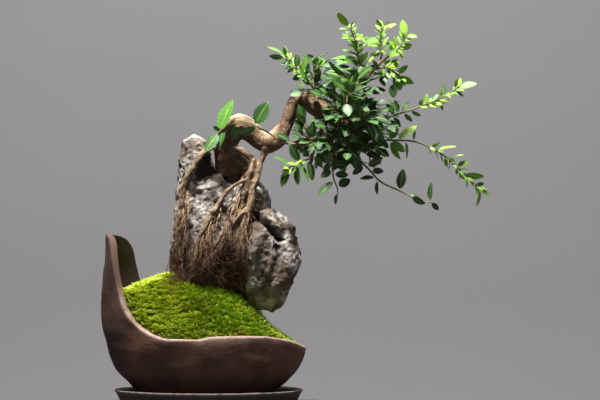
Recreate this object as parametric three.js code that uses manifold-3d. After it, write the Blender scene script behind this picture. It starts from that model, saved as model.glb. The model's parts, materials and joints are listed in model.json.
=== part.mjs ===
// A Chinese elm bonsai grown over a limestone rock, in a hand-formed clay pot on an oval saucer.
// Millimetres, +Z up. The tree is seen from the front along +Y, and leans out towards +X.
// The origin is the centre of the saucer's flat underside.
import * as THREE from 'three';
import { mergeVertices } from 'three/addons/utils/BufferGeometryUtils.js';
import Module from 'manifold-3d';

const wasm = await Module();
wasm.setup();

// Driving dimensions

const gap = 0.35; // clearance between neighbouring pieces

const saucer = {
  halfLength: 84.6,
  depthRatio: 0.71,
  height: 14,
  floor: 4,
  segments: 28,
};

const pot = {
  wall: 6,
  floor: 6,
  foot: saucer.floor + gap, // height of the pot's underside
  drainRadius: 6,
  waviness: 0.7,
  // Heights, and how far left, right and deep the outside reaches there
  left: [[4, -56], [10, -63], [19, -71], [33, -84.6], [54, -91.8], [85, -96.4], [110, -96], [155, -92.5]],
  right: [[4, 48], [10, 55.3], [20, 69.8], [39, 83], [51, 86.7], [70, 89], [155, 92]],
  halfDepth: [[4, 33], [20, 45], [39, 53], [60, 57], [85, 58], [115, 56], [155, 49]],
  // Rim height at each angle, from the right end round the back, the wing, and the front
  rim: [
    [0, 52], [30, 57], [60, 62], [90, 66], [105, 74], [120, 88], [131, 104], [135, 113], [139, 130],
    [143, 143], [150, 150], [165, 153.5], [185, 154], [195, 152], [201, 147], [206, 135], [210, 120],
    [214, 105], [219, 92], [227, 77], [240, 65], [250, 61.5], [266, 61.5], [276, 64], [305, 64],
    [319, 61.5], [347, 54], [360, 52],
  ],
};

const moss = {
  thickness: 6,
  highest: 99.5, // where it meets the inside of the wing
  belowRim: 1.2,
  ridge: [[-90, 99], [-54, 113], [-40, 118], [-15, 116], [5, 111], [25, 104], [45, 90], [58, 79],
    [68, 70], [84, 53]],
  spread: 2.2, // how long the mound stays high before it falls to the rim
};

// The rock's lumps: centre, half sizes, subdivision
const rockLumps = [
  { at: [0, 4, 138], size: [35, 28, 76], detail: 3 },
  { at: [-12, 4, 203], size: [20, 19, 39], detail: 3 },
  { at: [48, 3, 131], size: [34, 27, 48], detail: 3 },
  { at: [31, 8, 172], size: [25, 21, 33], detail: 2 },
  { at: [-10, 1, 96], size: [31, 26, 36], detail: 2 },
];
const rockHollows = [
  { at: [13, -21, 206], size: [17, 13, 16], detail: 1 },
  { at: [56, -25, 160], size: [17, 7, 5], detail: 1 },
];

// The trunk and its main branches: rows of x, y, z, radius
const trunk = [
  [13.5, 4, 205, 7.5], [13.5, 3, 215, 8.5], [13.8, 2, 224, 9.2], [15.3, 1, 233, 10], [19.8, 0, 244.8, 11],
  [27.9, 0, 250.7, 12], [36, 0, 246.6, 10.2], [42.3, 0, 240.3, 9], [49.5, -1, 235.8, 9],
  [55.8, -1, 235.8, 8.8], [62.1, -1, 240.3, 8], [67, 0, 247.5, 6.9], [72, 1, 258.3, 6.8],
  [76, 1, 266.9, 7.5], [81, 1, 272.7, 9],
  [87.3, 0, 275, 10.2], [93.6, -1, 270.9, 10], [99, -1, 265.5, 9], [106.2, -2, 261, 7.6],
  [116, -2, 254.7, 6], [127, -3, 246.6, 3.8],
];
const branches = [
  [[106, -2, 261, 4.5], [112, -1, 265, 3.6], [122, 0, 270, 2.8], [132, 1, 278, 2.3], [139, 2, 286, 1.9],
    [145, 3, 298, 1.8], [152, 4, 305, 1.6], [157, 5, 311, 1.2]],
  [[118, -2, 253, 3.6], [130, -4, 250, 2.6], [138, -5, 249, 2.1], [150, -6, 254, 1.5],
    [162, -7, 258.5, 1.1]],
  [[124, -3, 249, 3.2], [134, 0, 243, 2.4], [146, 3, 239.5, 1.8], [159, 6, 238, 1.2]],
  [[124, -3, 248, 3], [130, -6, 234, 2], [134, -9, 222, 1.5], [139, -10, 215, 1.1]],
  [[114, -2, 256, 3.2], [111, -9, 246, 2.2], [110, -15, 232, 1.5], [110, -18, 219, 1.1]],
  [[107, -2, 260, 3.2], [102, -6, 248, 2.2], [98, -9, 238, 1.7], [95, -14, 229, 1.1]],
  [[116, -2, 255, 3.2], [121, -12, 257, 2.2], [125, -20, 258, 1.5]],
  [[116, -2, 255, 3.2], [121, 10, 259, 2.4], [126, 20, 261, 1.6]],
];

// Thick roots: rows of x, z, radius, and y where the root hangs free of the rock
const frontRoots = [
  [[12, 233, 3.4, -2], [0, 230, 3, -9], [-8, 222, 2.9], [-14, 212, 2.8], [-19, 205, 2.8], [-22, 196, 3.2],
    [-23.5, 184, 3.3], [-25, 170, 2.8], [-26.5, 155, 2], [-26, 142, 1.5], [-23, 126, 1.3], [-22, 98, 1.2]],
  [[20, 231, 4.2, -3], [32, 227, 3.6, -9], [39.5, 219, 3.4, -12], [38, 209, 3.2, -14], [34.5, 197, 3],
    [31, 184, 2.4]],
  [[50, 238, 4.2, -3], [50.4, 228, 3.5, -7], [47, 218, 3.2, -10], [43.3, 204, 3.2, -14], [40.5, 193, 3.4],
    [38.5, 182, 3.8], [35, 171, 3.9], [30, 160, 3.6], [25, 149, 3.1], [20, 138, 2.7], [15.5, 128, 2.3],
    [12, 116, 1.9], [10, 104, 1.6], [9, 92, 1.4]],
  [[40, 205, 1.6, -14], [25, 198, 1.8, -18], [14.5, 188, 2.7], [7, 176, 3.1], [-1, 164, 2.9],
    [-8, 148, 2.4], [-12, 128, 1.9], [-17, 110, 1.5], [-21, 98, 1.3]],
  [[36, 177, 2.8], [28, 170, 3.1], [17, 158, 2.9], [5.5, 143, 2.5], [-3.5, 128, 2], [-6, 112, 1.6],
    [-5, 98, 1.3]],
];
const backRoots = [
  [[12, 216, 5, 6], [6, 205, 4], [-2, 188, 3.6], [-8, 165, 3], [-6, 138, 2.4], [-2, 112, 1.8],
    [0, 98, 1.5]],
  [[18, 214, 5, 8], [28, 200, 3.8], [34, 180, 3.4], [30, 155, 2.8], [34, 128, 2.2], [30, 104, 1.6],
    [28, 90, 1.4]],
];
// Thin fibres: which front root they leave, and between which places along x they enter the moss
const fibreFans = [
  { parent: 2, reach: [15, 32], count: 4 },
  { parent: 3, reach: [-16, -10], count: 2 },
  { parent: 4, reach: [-1, 6], count: 2 },
];
const fibres = {
  radius: [1.1, 0.7],
  leave: [0.35, 0.6], // how far down the thick root they leave it
  sway: 1.5,
};
const rootSink = 3.5; // how deep roots end in the moss

// Leafy sprays: the twig's points x, y, z, its radius at both ends, and its leaves as
// distance along the twig, direction in the front view, length, and width as seen from the front
const sprays = {
  spray_upper_left: {
    twig: [[100, -3, 272], [97, -5, 279], [92, -6, 287], [86, -7, 295], [80, -8, 301], [74, -9, 306],
      [67, -10, 315]],
    leaves: [[54, 150, 19, 5], [52, 180, 15, 4], [42, 125, 7, 4], [39, -150, 9, 4], [37, 90, 13, 7],
      [31, 75, 14, 6], [22, 125, 13, 6], [27, 70, 14, 4], [29, -160, 11, 6], [17, 140, 11, 6],
      [7, 175, 17, 7]],
    color: 'mid',
  },
  spray_stub: {
    twig: [[97, 1, 270], [96, 2, 283], [95, 2, 292], [94, 3, 309]],
    leaves: [[17, 75, 17, 6], [14, 10, 21, 10], [20, 25, 18, 5], [9, -10, 21, 9], [29, 65, 15, 6]],
    color: 'dark',
  },
  spray_long_leaf: {
    twig: [[126, -3, 271], [128, -8, 278], [127, -10, 286], [125, -12, 293]],
    leaves: [[22, 140, 26, 4], [9, 100, 20, 9], [16, 180, 9, 4], [7, 55, 14, 6], [17, 55, 12, 5]],
    color: 'mid',
  },
  spray_top: {
    twig: [[139, 2, 286], [140, 0, 296], [138, -1, 304], [134, -1, 313], [133, -2, 322], [130, -3, 331],
      [127, -4, 340]],
    leaves: [[56, 135, 18, 6], [54, 175, 11, 4], [41, 155, 14, 5], [51, -30, 18, 6], [36, 110, 12, 6],
      [31, 45, 7, 3], [23, 50, 12, 4], [20, 150, 10, 4], [26, 170, 12, 4], [28, 180, 25, 5]],
    color: 'fresh',
  },
  spray_crown_tip: {
    twig: [[155, 5, 308], [161, 6, 313], [167, 6, 318], [172, 7, 323], [178, 8, 333]],
    leaves: [[18, 95, 13, 4], [19, 130, 11, 4], [21, 0, 12, 3], [20, -60, 10, 5], [33, 100, 16, 8],
      [33, 10, 11, 6], [9, 140, 10, 3], [16, 130, 11, 3]],
    color: 'lime',
  },
  spray_crown_side: {
    twig: [[150, 2, 302], [158, -2, 303], [163, -4, 301], [169, -6, 297], [174, -8, 292]],
    leaves: [[9, 25, 16, 8], [21, 30, 14, 5], [24, -30, 16, 6], [26, -90, 13, 7], [5, -70, 12, 6],
      [3, 125, 9, 4], [14, -115, 13, 5], [9, -110, 12, 5]],
    color: 'fresh',
  },
  spray_upright: {
    twig: [[153, 4, 306], [156, 8, 316], [156, 9, 323], [155, 10, 328], [156, 11, 334], [158, 12, 342]],
    leaves: [[36, 135, 10, 3], [33, 30, 14, 5], [20, 135, 6, 3], [17, 170, 13, 4], [12, -170, 11, 4],
      [27, 40, 6, 3]],
    color: 'lime',
  },
  spray_right: {
    twig: [[161, -7, 258], [169, -8, 261], [183, -10, 265], [193, -11, 269], [206, -13, 273],
      [211, -14, 277], [218, -15, 281], [224, -16, 285]],
    leaves: [[68, 15, 18, 8], [57, 110, 12, 3], [47, -60, 10, 4], [30, 70, 7, 5], [15, -50, 12, 4],
      [21, -30, 11, 3], [11, 125, 13, 6], [7, 130, 13, 6], [9, 95, 14, 6], [13, 60, 13, 4],
      [4, -50, 13, 6]],
    color: 'mid',
  },
  spray_right_low: {
    twig: [[158, 6, 238], [168, 7, 238], [185, 8, 237], [199, 9, 232], [208, 10, 227], [217, 11, 220],
      [230, 12, 208], [236, 13, 202], [245, 14, 194]],
    leaves: [[49, 15, 19, 5], [43, 25, 10, 3], [61, 15, 16, 3], [72, 20, 12, 6], [82, -10, 19, 5],
      [102, -35, 11, 5], [96, 5, 9, 4], [102, -95, 17, 4], [27, 85, 10, 3], [19, -80, 17, 4],
      [12, 40, 22, 9], [6, -40, 17, 8], [5, -65, 20, 5], [8, 120, 16, 6], [3, 45, 15, 6]],
    color: 'fresh',
  },
  spray_lower: {
    twig: [[138, -10, 217], [145, -11, 210], [152, -12, 202], [158, -13, 198], [169, -14, 193],
      [188, -17, 184], [194, -17, 182], [199, -18, 182]],
    leaves: [[42, 80, 20, 10], [53, -30, 15, 6], [72, 90, 18, 5], [72, -40, 11, 6], [18, 180, 15, 6],
      [20, -95, 14, 4], [5, 30, 17, 8], [10, 0, 12, 7], [3, -145, 14, 7], [62, 140, 10, 5]],
    color: 'dark',
  },
  spray_hanging: {
    twig: [[110, -17, 222], [111, -20, 211], [112, -22, 203], [115, -24, 195], [116, -26, 189]],
    leaves: [[7, 0, 14, 9], [16, 0, 14, 8], [28, 30, 14, 10], [11, -145, 13, 8], [22, -140, 20, 9],
      [33, -105, 12, 4], [4, -130, 12, 7]],
    color: 'dark',
  },
  spray_left_low: {
    twig: [[95, -14, 228], [92, -17, 222], [86, -19, 219], [78, -22, 215], [71, -24, 212]],
    leaves: [[19, 120, 19, 9], [28, 145, 19, 6], [28, -120, 21, 9], [22, -90, 19, 7], [20, -58, 18, 5],
      [11, -75, 20, 8], [5, -48, 15, 7], [8, 140, 14, 8]],
    color: 'mid',
  },
  spray_left_mid: {
    twig: [[99, -8, 237], [91, -10, 239], [85, -11, 239], [78, -13, 237], [74, -14, 236]],
    leaves: [[15, -130, 14, 10], [26, 150, 16, 7], [15, 160, 12, 6], [8, 115, 12, 4], [7, 85, 16, 8],
      [14, -45, 16, 6]],
    color: 'deep',
  },
  spray_over_trunk: {
    twig: [[98, -9, 235], [86, -14, 232], [78, -15, 234], [67, -15, 235], [60, -15, 240], [52, -16, 245],
      [44, -17, 249], [36, -18, 253], [29, -18, 254], [22, -18, 252], [15, -18, 248], [9, -18, 244]],
    leaves: [[98, 70, 32, 14], [63, 60, 24, 15], [98, -125, 22, 11], [91, -115, 20, 9], [60, -160, 19, 6],
      [84, -75, 15, 9], [95, 160, 10, 4]],
    color: 'deep',
  },
};

// Sprays that fill the dense middle of the crown: where each leaves the wood, where it ends
const fillSprays = {
  spray_front_high: { from: [117, -6, 260], to: [126, -36, 279] },
  spray_front_middle: { from: [125, -20, 258], to: [142, -42, 254] },
  spray_front_low: { from: [124, -5, 246], to: [125, -40, 226] },
  spray_back_high: { from: [119, 7, 261], to: [134, 38, 284] },
  spray_back_middle: { from: [126, 20, 261], to: [150, 42, 256] },
  spray_back_low: { from: [116, 2, 250], to: [114, 40, 232] },
};

const blade = {
  thickness: 1,
  fold: 0.22, // how steeply each half rises from the midrib
  droop: 0.1, // how far the tip bends down, as a share of the length
  stalk: 2,
  rooted: 0.8, // how far the stalk's pointed root passes the middle of its twig
  neck: 0.42, // half thickness of the stalk
  teethFrom: 0.1, // where along the blade its teeth begin and end
  teethTo: 0.94,
  tooth: 0.16, // depth of a notch, as a share of the half width
  notch: 0.03, // length of a notch, as a share of the blade
  tries: 7, // places that a leaf tries before it is left out
  lean: 0.7, // how far a leaf may lean out of the front view, and how much further at each try
  leanMore: 0.25,
};
const fillLeaves = {
  count: 8,
  start: 0.18, // first leaf's place along the twig, as a share of its length
  turn: 2.2, // how far a leaf may turn from its side of the twig
  forward: 0.75, // how much it points along the twig, for the last leaf and the others out to a side
  out: [0.2, 1.1],
  length: [13, 17.5],
  width: 0.58, // as a share of the length
  rise: 3, // how far the twig arches up
};
const twigRadius = [1.1, 0.75]; // at its foot and its tip
const leafColors = { dark: 0x24401c, deep: 0x38602a, mid: 0x4c8a2c, fresh: 0x7fb236, lime: 0x9ccc42 };

// Small helpers

const radians = (degrees) => (degrees * Math.PI) / 180;
const vector = (p) => new THREE.Vector3(p[0], p[1], p[2]);
const mix = (a, b, t) => a + (b - a) * t;

// A repeatable draw between 0 and 1 for up to three whole numbers
function draw(a, b = 0, c = 0) {
  const s = Math.sin(a * 127.1 + b * 311.7 + c * 74.7 + 0.5) * 43758.5453;
  return s - Math.floor(s);
}

// A smooth curve y(x) through the given pairs that never swings past them
function profile(pairs) {
  const last = pairs.length - 1;
  const slopes = pairs.slice(1).map((p, i) => (p[1] - pairs[i][1]) / (p[0] - pairs[i][0]));
  const tangents = pairs.map((_, i) => {
    const before = slopes[Math.max(0, i - 1)];
    const after = slopes[Math.min(last - 1, i)];
    return before * after <= 0 ? 0 : (2 * before * after) / (before + after);
  });
  return (x) => {
    let i = 0;
    while (i < last - 1 && x > pairs[i + 1][0]) i += 1;
    const width = pairs[i + 1][0] - pairs[i][0];
    const t = Math.min(1, Math.max(0, (x - pairs[i][0]) / width));
    const u = 1 - t;
    const start = u * u * (1 + 2 * t) * pairs[i][1] + t * u * u * width * tangents[i];
    const end = t * t * (3 - 2 * t) * pairs[i + 1][1] - t * t * u * width * tangents[i + 1];
    return start + end;
  };
}

// A closed solid from points and triangles, turned so that its faces point out
function solidOf(points, faces) {
  let volume = 0;
  for (const [a, b, c] of faces) {
    volume += points[a].dot(new THREE.Vector3().crossVectors(points[b], points[c]));
  }
  const turned = volume < 0 ? faces.map(([a, b, c]) => [a, c, b]) : faces;
  const vertProperties = new Float32Array(points.flatMap((p) => [p.x, p.y, p.z]));
  const triVerts = new Uint32Array(turned.flat());
  return new wasm.Manifold(new wasm.Mesh({ numProp: 3, vertProperties, triVerts }));
}

// A skin over rings of points: its ends are closed by fans, or joined to each other
function skin(rings, joined = false) {
  const n = rings[0].length;
  const points = rings.flat();
  const faces = [];
  const bands = joined ? rings.length : rings.length - 1;
  for (let r = 0; r < bands; r += 1) {
    const next = ((r + 1) % rings.length) * n;
    for (let j = 0; j < n; j += 1) {
      const k = (j + 1) % n;
      faces.push([r * n + j, r * n + k, next + k], [r * n + j, next + k, next + j]);
    }
  }
  if (!joined) {
    const ends = [[rings[0], 0, true], [rings.at(-1), (rings.length - 1) * n, false]];
    for (const [ring, start, flip] of ends) {
      const middle = ring.reduce((sum, p) => sum.add(p), new THREE.Vector3()).divideScalar(n);
      points.push(middle);
      for (let j = 0; j < n; j += 1) {
        const pair = [start + j, start + ((j + 1) % n)];
        faces.push(flip ? [pair[1], pair[0], points.length - 1] : [pair[0], pair[1], points.length - 1]);
      }
    }
  }
  return solidOf(points, faces);
}

function join(solids) {
  return wasm.Manifold.union(solids);
}

// The largest connected body of a solid: a cut can leave scraps
function largest(solid) {
  const bodies = solid.decompose();
  bodies.sort((a, b) => b.volume() - a.volume());
  return bodies[0];
}

function geometryOf(solid) {
  const mesh = solid.getMesh();
  const geometry = new THREE.BufferGeometry();
  geometry.setAttribute('position', new THREE.Float32BufferAttribute(mesh.vertProperties, 3));
  geometry.setIndex(Array.from(mesh.triVerts));
  geometry.computeVertexNormals();
  return geometry;
}

// Pot: an oval whose reach left, right and deep changes with height, under a rim that rises to a wing

const potLeft = profile(pot.left);
const potRight = profile(pot.right);
const potHalfDepth = profile(pot.halfDepth);
const potRim = profile(pot.rim);

// Angles round the pot, closer together along the wing
const potAngles = [];
for (let a = 0; a < 360; a += a >= 117 && a < 225 ? 6 : 13) potAngles.push(a);
const fillAngles = potAngles.filter((_, i) => i % 2 === 0);

const potInside = pot.foot + pot.floor; // height of the floor inside
const lipDrop = 2; // how far the wall's straight part ends below the rim
const innerShares = [0, 0.22, 0.48, 0.75, 1]; // rings of the inner wall, from the floor to the lip

function potPoint(angle, z, inset) {
  const a = radians(angle);
  const rise = Math.min(1, Math.max(0, (z - 20) / 25));
  const wave = pot.waviness * rise * (Math.sin(5 * a + z / 17) + 0.6 * Math.sin(9 * a - z / 11));
  const middle = (potLeft(z) + potRight(z)) / 2;
  const halfLength = (potRight(z) - potLeft(z)) / 2 - inset + wave;
  const halfDepth = potHalfDepth(z) - inset + wave;
  return new THREE.Vector3(middle + halfLength * Math.cos(a), halfDepth * Math.sin(a), z);
}

// A ring of the inner wall at an angle, where the floor is a little narrower
function innerPoint(angle, share, inset) {
  const z = mix(potInside, potRim(angle) - lipDrop, share);
  return potPoint(angle, z, pot.wall + inset + (share === 0 ? 2 : 0));
}

// The point at a height on the straight facets between those rings, kept clear of the wall
function liningPoint(angle, z) {
  const column = innerShares.map((share) => innerPoint(angle, share, 3 * gap));
  let i = 0;
  while (i < column.length - 2 && z > column[i + 1].z) i += 1;
  const t = Math.min(1, (z - column[i].z) / (column[i + 1].z - column[i].z));
  return column[i].clone().lerp(column[i + 1], t).setZ(z);
}

function potSolid() {
  const ring = (height, inset) => potAngles.map((a) => potPoint(a, height(a), inset));
  const drain = (z) => potAngles.map((a) => new THREE.Vector3(
    pot.drainRadius * Math.cos(radians(a)), pot.drainRadius * Math.sin(radians(a)), z));
  const rings = [drain(potInside), drain(pot.foot)];
  for (const share of [0, 0.07, 0.17, 0.3, 0.46, 0.64, 0.83]) {
    rings.push(ring((a) => mix(pot.foot, potRim(a) - lipDrop, share), share === 0 ? 2 : 0));
  }
  rings.push(ring((a) => potRim(a) - lipDrop, 0));
  rings.push(ring((a) => potRim(a), pot.wall * 0.28));
  rings.push(ring((a) => potRim(a), pot.wall * 0.72));
  for (const share of innerShares.toReversed()) rings.push(potAngles.map((a) => innerPoint(a, share, 0)));
  return skin(rings, true);
}

// Saucer: a turned dish, narrowed front to back into an oval

function saucerGeometry() {
  const { halfLength: r, height: h, floor } = saucer;
  const outline = [
    [0, 0], [r - 8.5, 0], [r - 6.6, 1.2], [r - 1, h - 2], [r, h - 0.7], [r - 0.6, h], [r - 2.2, h],
    [r - 3.2, h - 1], [r - 7, floor + 1.4], [r - 9.5, floor], [0, floor],
  ];
  const geometry = new THREE.LatheGeometry(outline.map((p) => new THREE.Vector2(...p)), saucer.segments);
  geometry.rotateX(Math.PI / 2);
  geometry.scale(1, saucer.depthRatio, 1);
  geometry.deleteAttribute('normal');
  geometry.deleteAttribute('uv');
  return mergeVertices(geometry, 1e-3);
}

// Moss and soil: a mound from the pot's wall up to the rock

const mossRidge = profile(moss.ridge);

function mossEdge(angle) {
  return Math.min(potRim(angle) - moss.belowRim, moss.highest);
}

// A point of the mound at an angle and a share of the way out, sunk by a depth below the moss
function moundPoint(angle, share, depth) {
  const edge = mossEdge(angle) - depth;
  const rim = liningPoint(angle, edge);
  const x = rim.x * share;
  const y = rim.y * share;
  const weight = share ** moss.spread;
  const lumps = share < 1 ? 1.1 * Math.sin(x / 6) * Math.sin(y / 5 + x / 13) : 0;
  return new THREE.Vector3(x, y, mix(mossRidge(x) - depth, edge, weight) + lumps);
}

function moundRings(shares, depth) {
  return shares.map((share) => fillAngles.map((a) => moundPoint(a, share, depth)));
}

// Height of the moss above a place
function mossHeight(x, y) {
  const reach = x < 0 ? -potLeft(90) : potRight(60);
  const angle = (THREE.MathUtils.radToDeg(Math.atan2(y / potHalfDepth(60), x / reach)) + 360) % 360;
  const rim = moundPoint(angle, 1, 0);
  return moundPoint(angle, Math.hypot(x, y) / Math.hypot(rim.x, rim.y), 0).z;
}

function mossSolid() {
  const top = moundRings([1, 0.9, 0.72, 0.5, 0.25], 0);
  const bottom = moundRings([0.25, 0.5, 0.75, 1], moss.thickness);
  return skin([...bottom, ...top]);
}

function soilSolid() {
  const floor = potInside + gap;
  const depth = moss.thickness + gap;
  const top = moundRings([0.25, 0.5, 0.75, 1], depth);
  const wall = [0.75, 0.48, 0.22, 0].map((share) => fillAngles.map((a) => (
    liningPoint(a, mix(floor, mossEdge(a) - depth, share)))));
  return skin([...top, ...wall]);
}

// Rock: rough lumps grown together, with hollows under the trunk and beside the roots

// How far the rock's surface stands out at a point: crossing ridges a thumb's width apart
function crag(p) {
  const warp = 1.4 * Math.sin(p.z / 19 + p.x / 23);
  const ridges = Math.abs(Math.sin(p.x / 9 + warp)) + Math.abs(Math.sin(p.z / 13 - p.y / 9 + warp));
  return 2.2 * (ridges - 1.2) + 1.1 * Math.sin(p.x / 5 + p.z / 4) * Math.sin(p.y / 4 - p.z / 7);
}

function lump({ at, size, detail }, extra) {
  const geometry = new THREE.IcosahedronGeometry(1, detail);
  geometry.deleteAttribute('normal');
  geometry.deleteAttribute('uv');
  const ball = mergeVertices(geometry, 1e-4);
  const points = [];
  for (let i = 0; i < ball.attributes.position.count; i += 1) {
    const direction = new THREE.Vector3().fromBufferAttribute(ball.attributes.position, i);
    const p = direction.clone().multiply(vector(size));
    const out = direction.clone().divide(vector(size)).normalize();
    p.add(vector(at));
    points.push(p.addScaledVector(out, crag(p) + extra));
  }
  const faces = [];
  for (let i = 0; i < ball.index.count; i += 3) faces.push(Array.from(ball.index.array.slice(i, i + 3)));
  return solidOf(points, faces);
}

function rockSolid(extra) {
  const body = join(rockLumps.map((each) => lump(each, extra)));
  const hollows = join(rockHollows.map((each) => lump(each, -extra)));
  return largest(body.subtract(hollows));
}

// Trunk, branches and roots: round limbs along paths, grown together

// A limb along rows of point and radius. Rings are square to the path, and the points on the
// inside of a tight bend are pushed along it, so that no ring crosses the one before.
function limb(points, radii, sides, steps, extra = 0, knots = 0) {
  const curve = new THREE.CatmullRomCurve3(points, false, 'centripetal');
  const rings = [];
  const normal = new THREE.Vector3(0, 1, 0.01);
  for (let k = 0; k <= steps; k += 1) {
    const t = k / steps;
    const place = t * (points.length - 1);
    const i = Math.min(points.length - 2, Math.floor(place));
    const centre = curve.getPoint(t);
    const tangent = curve.getTangent(t);
    normal.addScaledVector(tangent, -normal.dot(tangent)).normalize();
    const side = new THREE.Vector3().crossVectors(tangent, normal);
    const radius = mix(radii[i], radii[i + 1], place - i);
    const ring = [];
    for (let j = 0; j < sides; j += 1) {
      const a = (2 * Math.PI * j) / sides;
      const knot = 1 + knots * Math.sin(3 * a + centre.z / 7) * Math.sin(centre.x / 8 + centre.z / 9);
      const reach = radius * knot + extra;
      const p = centre.clone();
      p.addScaledVector(normal, reach * Math.cos(a));
      p.addScaledVector(side, reach * Math.sin(a));
      const before = rings.length ? p.clone().sub(rings.at(-1)[j]).dot(tangent) : 1;
      ring.push(p.addScaledVector(tangent, Math.max(0, 0.3 - before)));
    }
    rings.push(ring);
  }
  return skin(rings);
}

function woodLimb(rows, sides, extra) {
  const points = rows.map(vector);
  const radii = rows.map((row) => row[3]);
  return limb(points, radii, sides, Math.round(rows.length * 1.25), extra, 0.06);
}

// Points along a root: where no depth is given it lies on the rock, seen from the front or back,
// it stretches straight over hollows, and its end is sunk in the moss
function rootPoints(rows, side, depthAt) {
  const rest = rows.map(([x, z, radius, y]) => y ?? depthAt(x, z, side) + side * (radius + 2 * gap));
  for (let round = 0; round < 4; round += 1) {
    for (let i = 1; i < rest.length - 1; i += 1) {
      const straight = (rest[i - 1] + rest[i + 1]) / 2;
      if (rows[i][3] === undefined) rest[i] = side * Math.max(side * rest[i], side * straight);
    }
  }
  const points = rows.map(([x, z], i) => new THREE.Vector3(x, rest[i], z));
  const end = points.at(-1);
  if (end.z < moss.ridge[2][1]) end.z = mossHeight(end.x, end.y) - rootSink;
  return points;
}

// Thin fibres leave the thick front roots and fan out down the rock into the moss
function fibreRows({ parent, reach, count }, i) {
  const root = frontRoots[parent];
  const leave = mix(...fibres.leave, draw(parent, i, 1)) * (root.length - 1);
  const k = Math.floor(leave);
  const x0 = mix(root[k][0], root[k + 1][0], leave - k);
  const z0 = mix(root[k][1], root[k + 1][1], leave - k);
  const x1 = mix(...reach, (i + draw(parent, i, 2)) / count);
  return Array.from({ length: 7 }, (_, s) => {
    const t = s / 6;
    const sway = fibres.sway * Math.sin(5 * t + 6 * draw(parent, i, 3)) * Math.sin(Math.PI * t);
    return [mix(x0, x1, t ** 0.7) + sway, mix(z0, 94, t), mix(...fibres.radius, t)];
  });
}

function woodSolid(depthAt, extra) {
  const limbs = [woodLimb(trunk, 10, extra), ...branches.map((rows) => woodLimb(rows, 5, extra))];
  for (const [roots, side] of [[frontRoots, -1], [backRoots, 1]]) {
    for (const rows of roots) {
      const points = rootPoints(rows, side, depthAt);
      limbs.push(limb(points, rows.map((row) => row[2]), 6, rows.length, extra, 0.1));
    }
  }
  for (const fan of fibreFans) {
    for (let i = 0; i < fan.count; i += 1) {
      const rows = fibreRows(fan, i);
      limbs.push(limb(rootPoints(rows, -1, depthAt), rows.map((row) => row[2]), 3, 6, extra));
    }
  }
  return join(limbs);
}

// Leaves: a folded, drooping blade with a toothed edge on a short stalk sunk in its twig

// Half width of a blade along its length, as a share of the widest
function bladeShape(s) {
  return Math.sin(Math.PI * s ** 0.9) ** 0.8;
}

function leafSolid(base, along, facing, length, width) {
  const up = facing.clone().addScaledVector(along, -facing.dot(along)).normalize();
  const across = new THREE.Vector3().crossVectors(along, up);
  const stalk = Math.min(blade.stalk, length * 0.15);
  const span = length - stalk;
  // A point at a share of the blade's length, a distance to one side, and a lift off its surface
  const at = (s, out, lift) => {
    const rise = blade.fold * Math.abs(out) - blade.droop * span * Math.max(0, s) ** 2 + lift;
    return base.clone().addScaledVector(along, stalk + span * s).addScaledVector(across, out)
      .addScaledVector(up, rise);
  };
  const root = -(stalk + blade.rooted) / span;
  const teeth = length > 20 ? 4 : length > 15.5 ? 3 : 2;
  const edge = [[0, blade.neck]];
  for (let i = 0; i < teeth; i += 1) {
    const peak = mix(blade.teethFrom, blade.teethTo, (i + 0.75) / teeth);
    edge.push([peak, (width / 2) * bladeShape(peak)]);
    const foot = peak + blade.notch;
    if (i < teeth - 1) edge.push([foot, (width / 2) * bladeShape(foot) * (1 - blade.tooth)]);
  }
  const points = [at(root, 0, 0), at(1, 0, 0)];
  const chain = (place, rows) => [
    [root, 0], ...rows.map(([s, reach]) => [s, points.push(place(s, reach)) - 1]), [1, 1],
  ];
  const ribs = [[0, blade.neck], [0.5, blade.thickness / 2]];
  const left = chain((s, reach) => at(s, reach, 0), edge);
  const right = chain((s, reach) => at(s, -reach, 0), edge);
  const over = chain((s, reach) => at(s, 0, reach), ribs);
  const under = chain((s, reach) => at(s, 0, -reach), ribs);
  const faces = [];
  // Triangles between two chains that both run from the root to the tip
  const strip = (a, b) => {
    let i = 0;
    let j = 0;
    while (i < a.length - 2 || j < b.length - 2) {
      const nextA = i < a.length - 2 ? a[i + 1][0] : 1;
      const nextB = j < b.length - 2 ? b[j + 1][0] : 1;
      if (nextA < nextB || (nextA === nextB && i <= j)) {
        if (a[i][1] !== b[j][1]) faces.push([a[i][1], a[i + 1][1], b[j][1]]);
        i += 1;
      } else {
        faces.push([a[i][1], b[j + 1][1], b[j][1]]);
        j += 1;
      }
    }
    faces.push([a[i][1], 1, b[j][1]]);
  };
  strip(left, over);
  strip(over, right);
  strip(right, under);
  strip(under, left);
  return solidOf(points, faces);
}

// The solid of one leaf, for one of its tries at a free place

function shownLeaf(curve, length, row, seed, attempt) {
  const [distance, angle, reach, seen] = row;
  const base = curve.getPointAt(Math.min(1, distance / length));
  const lean = (draw(seed, 1, attempt) - 0.5) * (blade.lean + blade.leanMore * attempt);
  const along = new THREE.Vector3(Math.cos(radians(angle)), lean, Math.sin(radians(angle))).normalize();
  const width = Math.max(seen, Math.min(0.5 * reach, 2 * seen));
  const turn = Math.acos(seen / width) * (draw(seed, 2, attempt) < 0.5 ? -1 : 1);
  const facing = new THREE.Vector3(0, -1, 0.25).applyAxisAngle(along, turn);
  return leafSolid(base, along, facing, reach * Math.sqrt(1 + lean * lean * 0.5), width);
}

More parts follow.
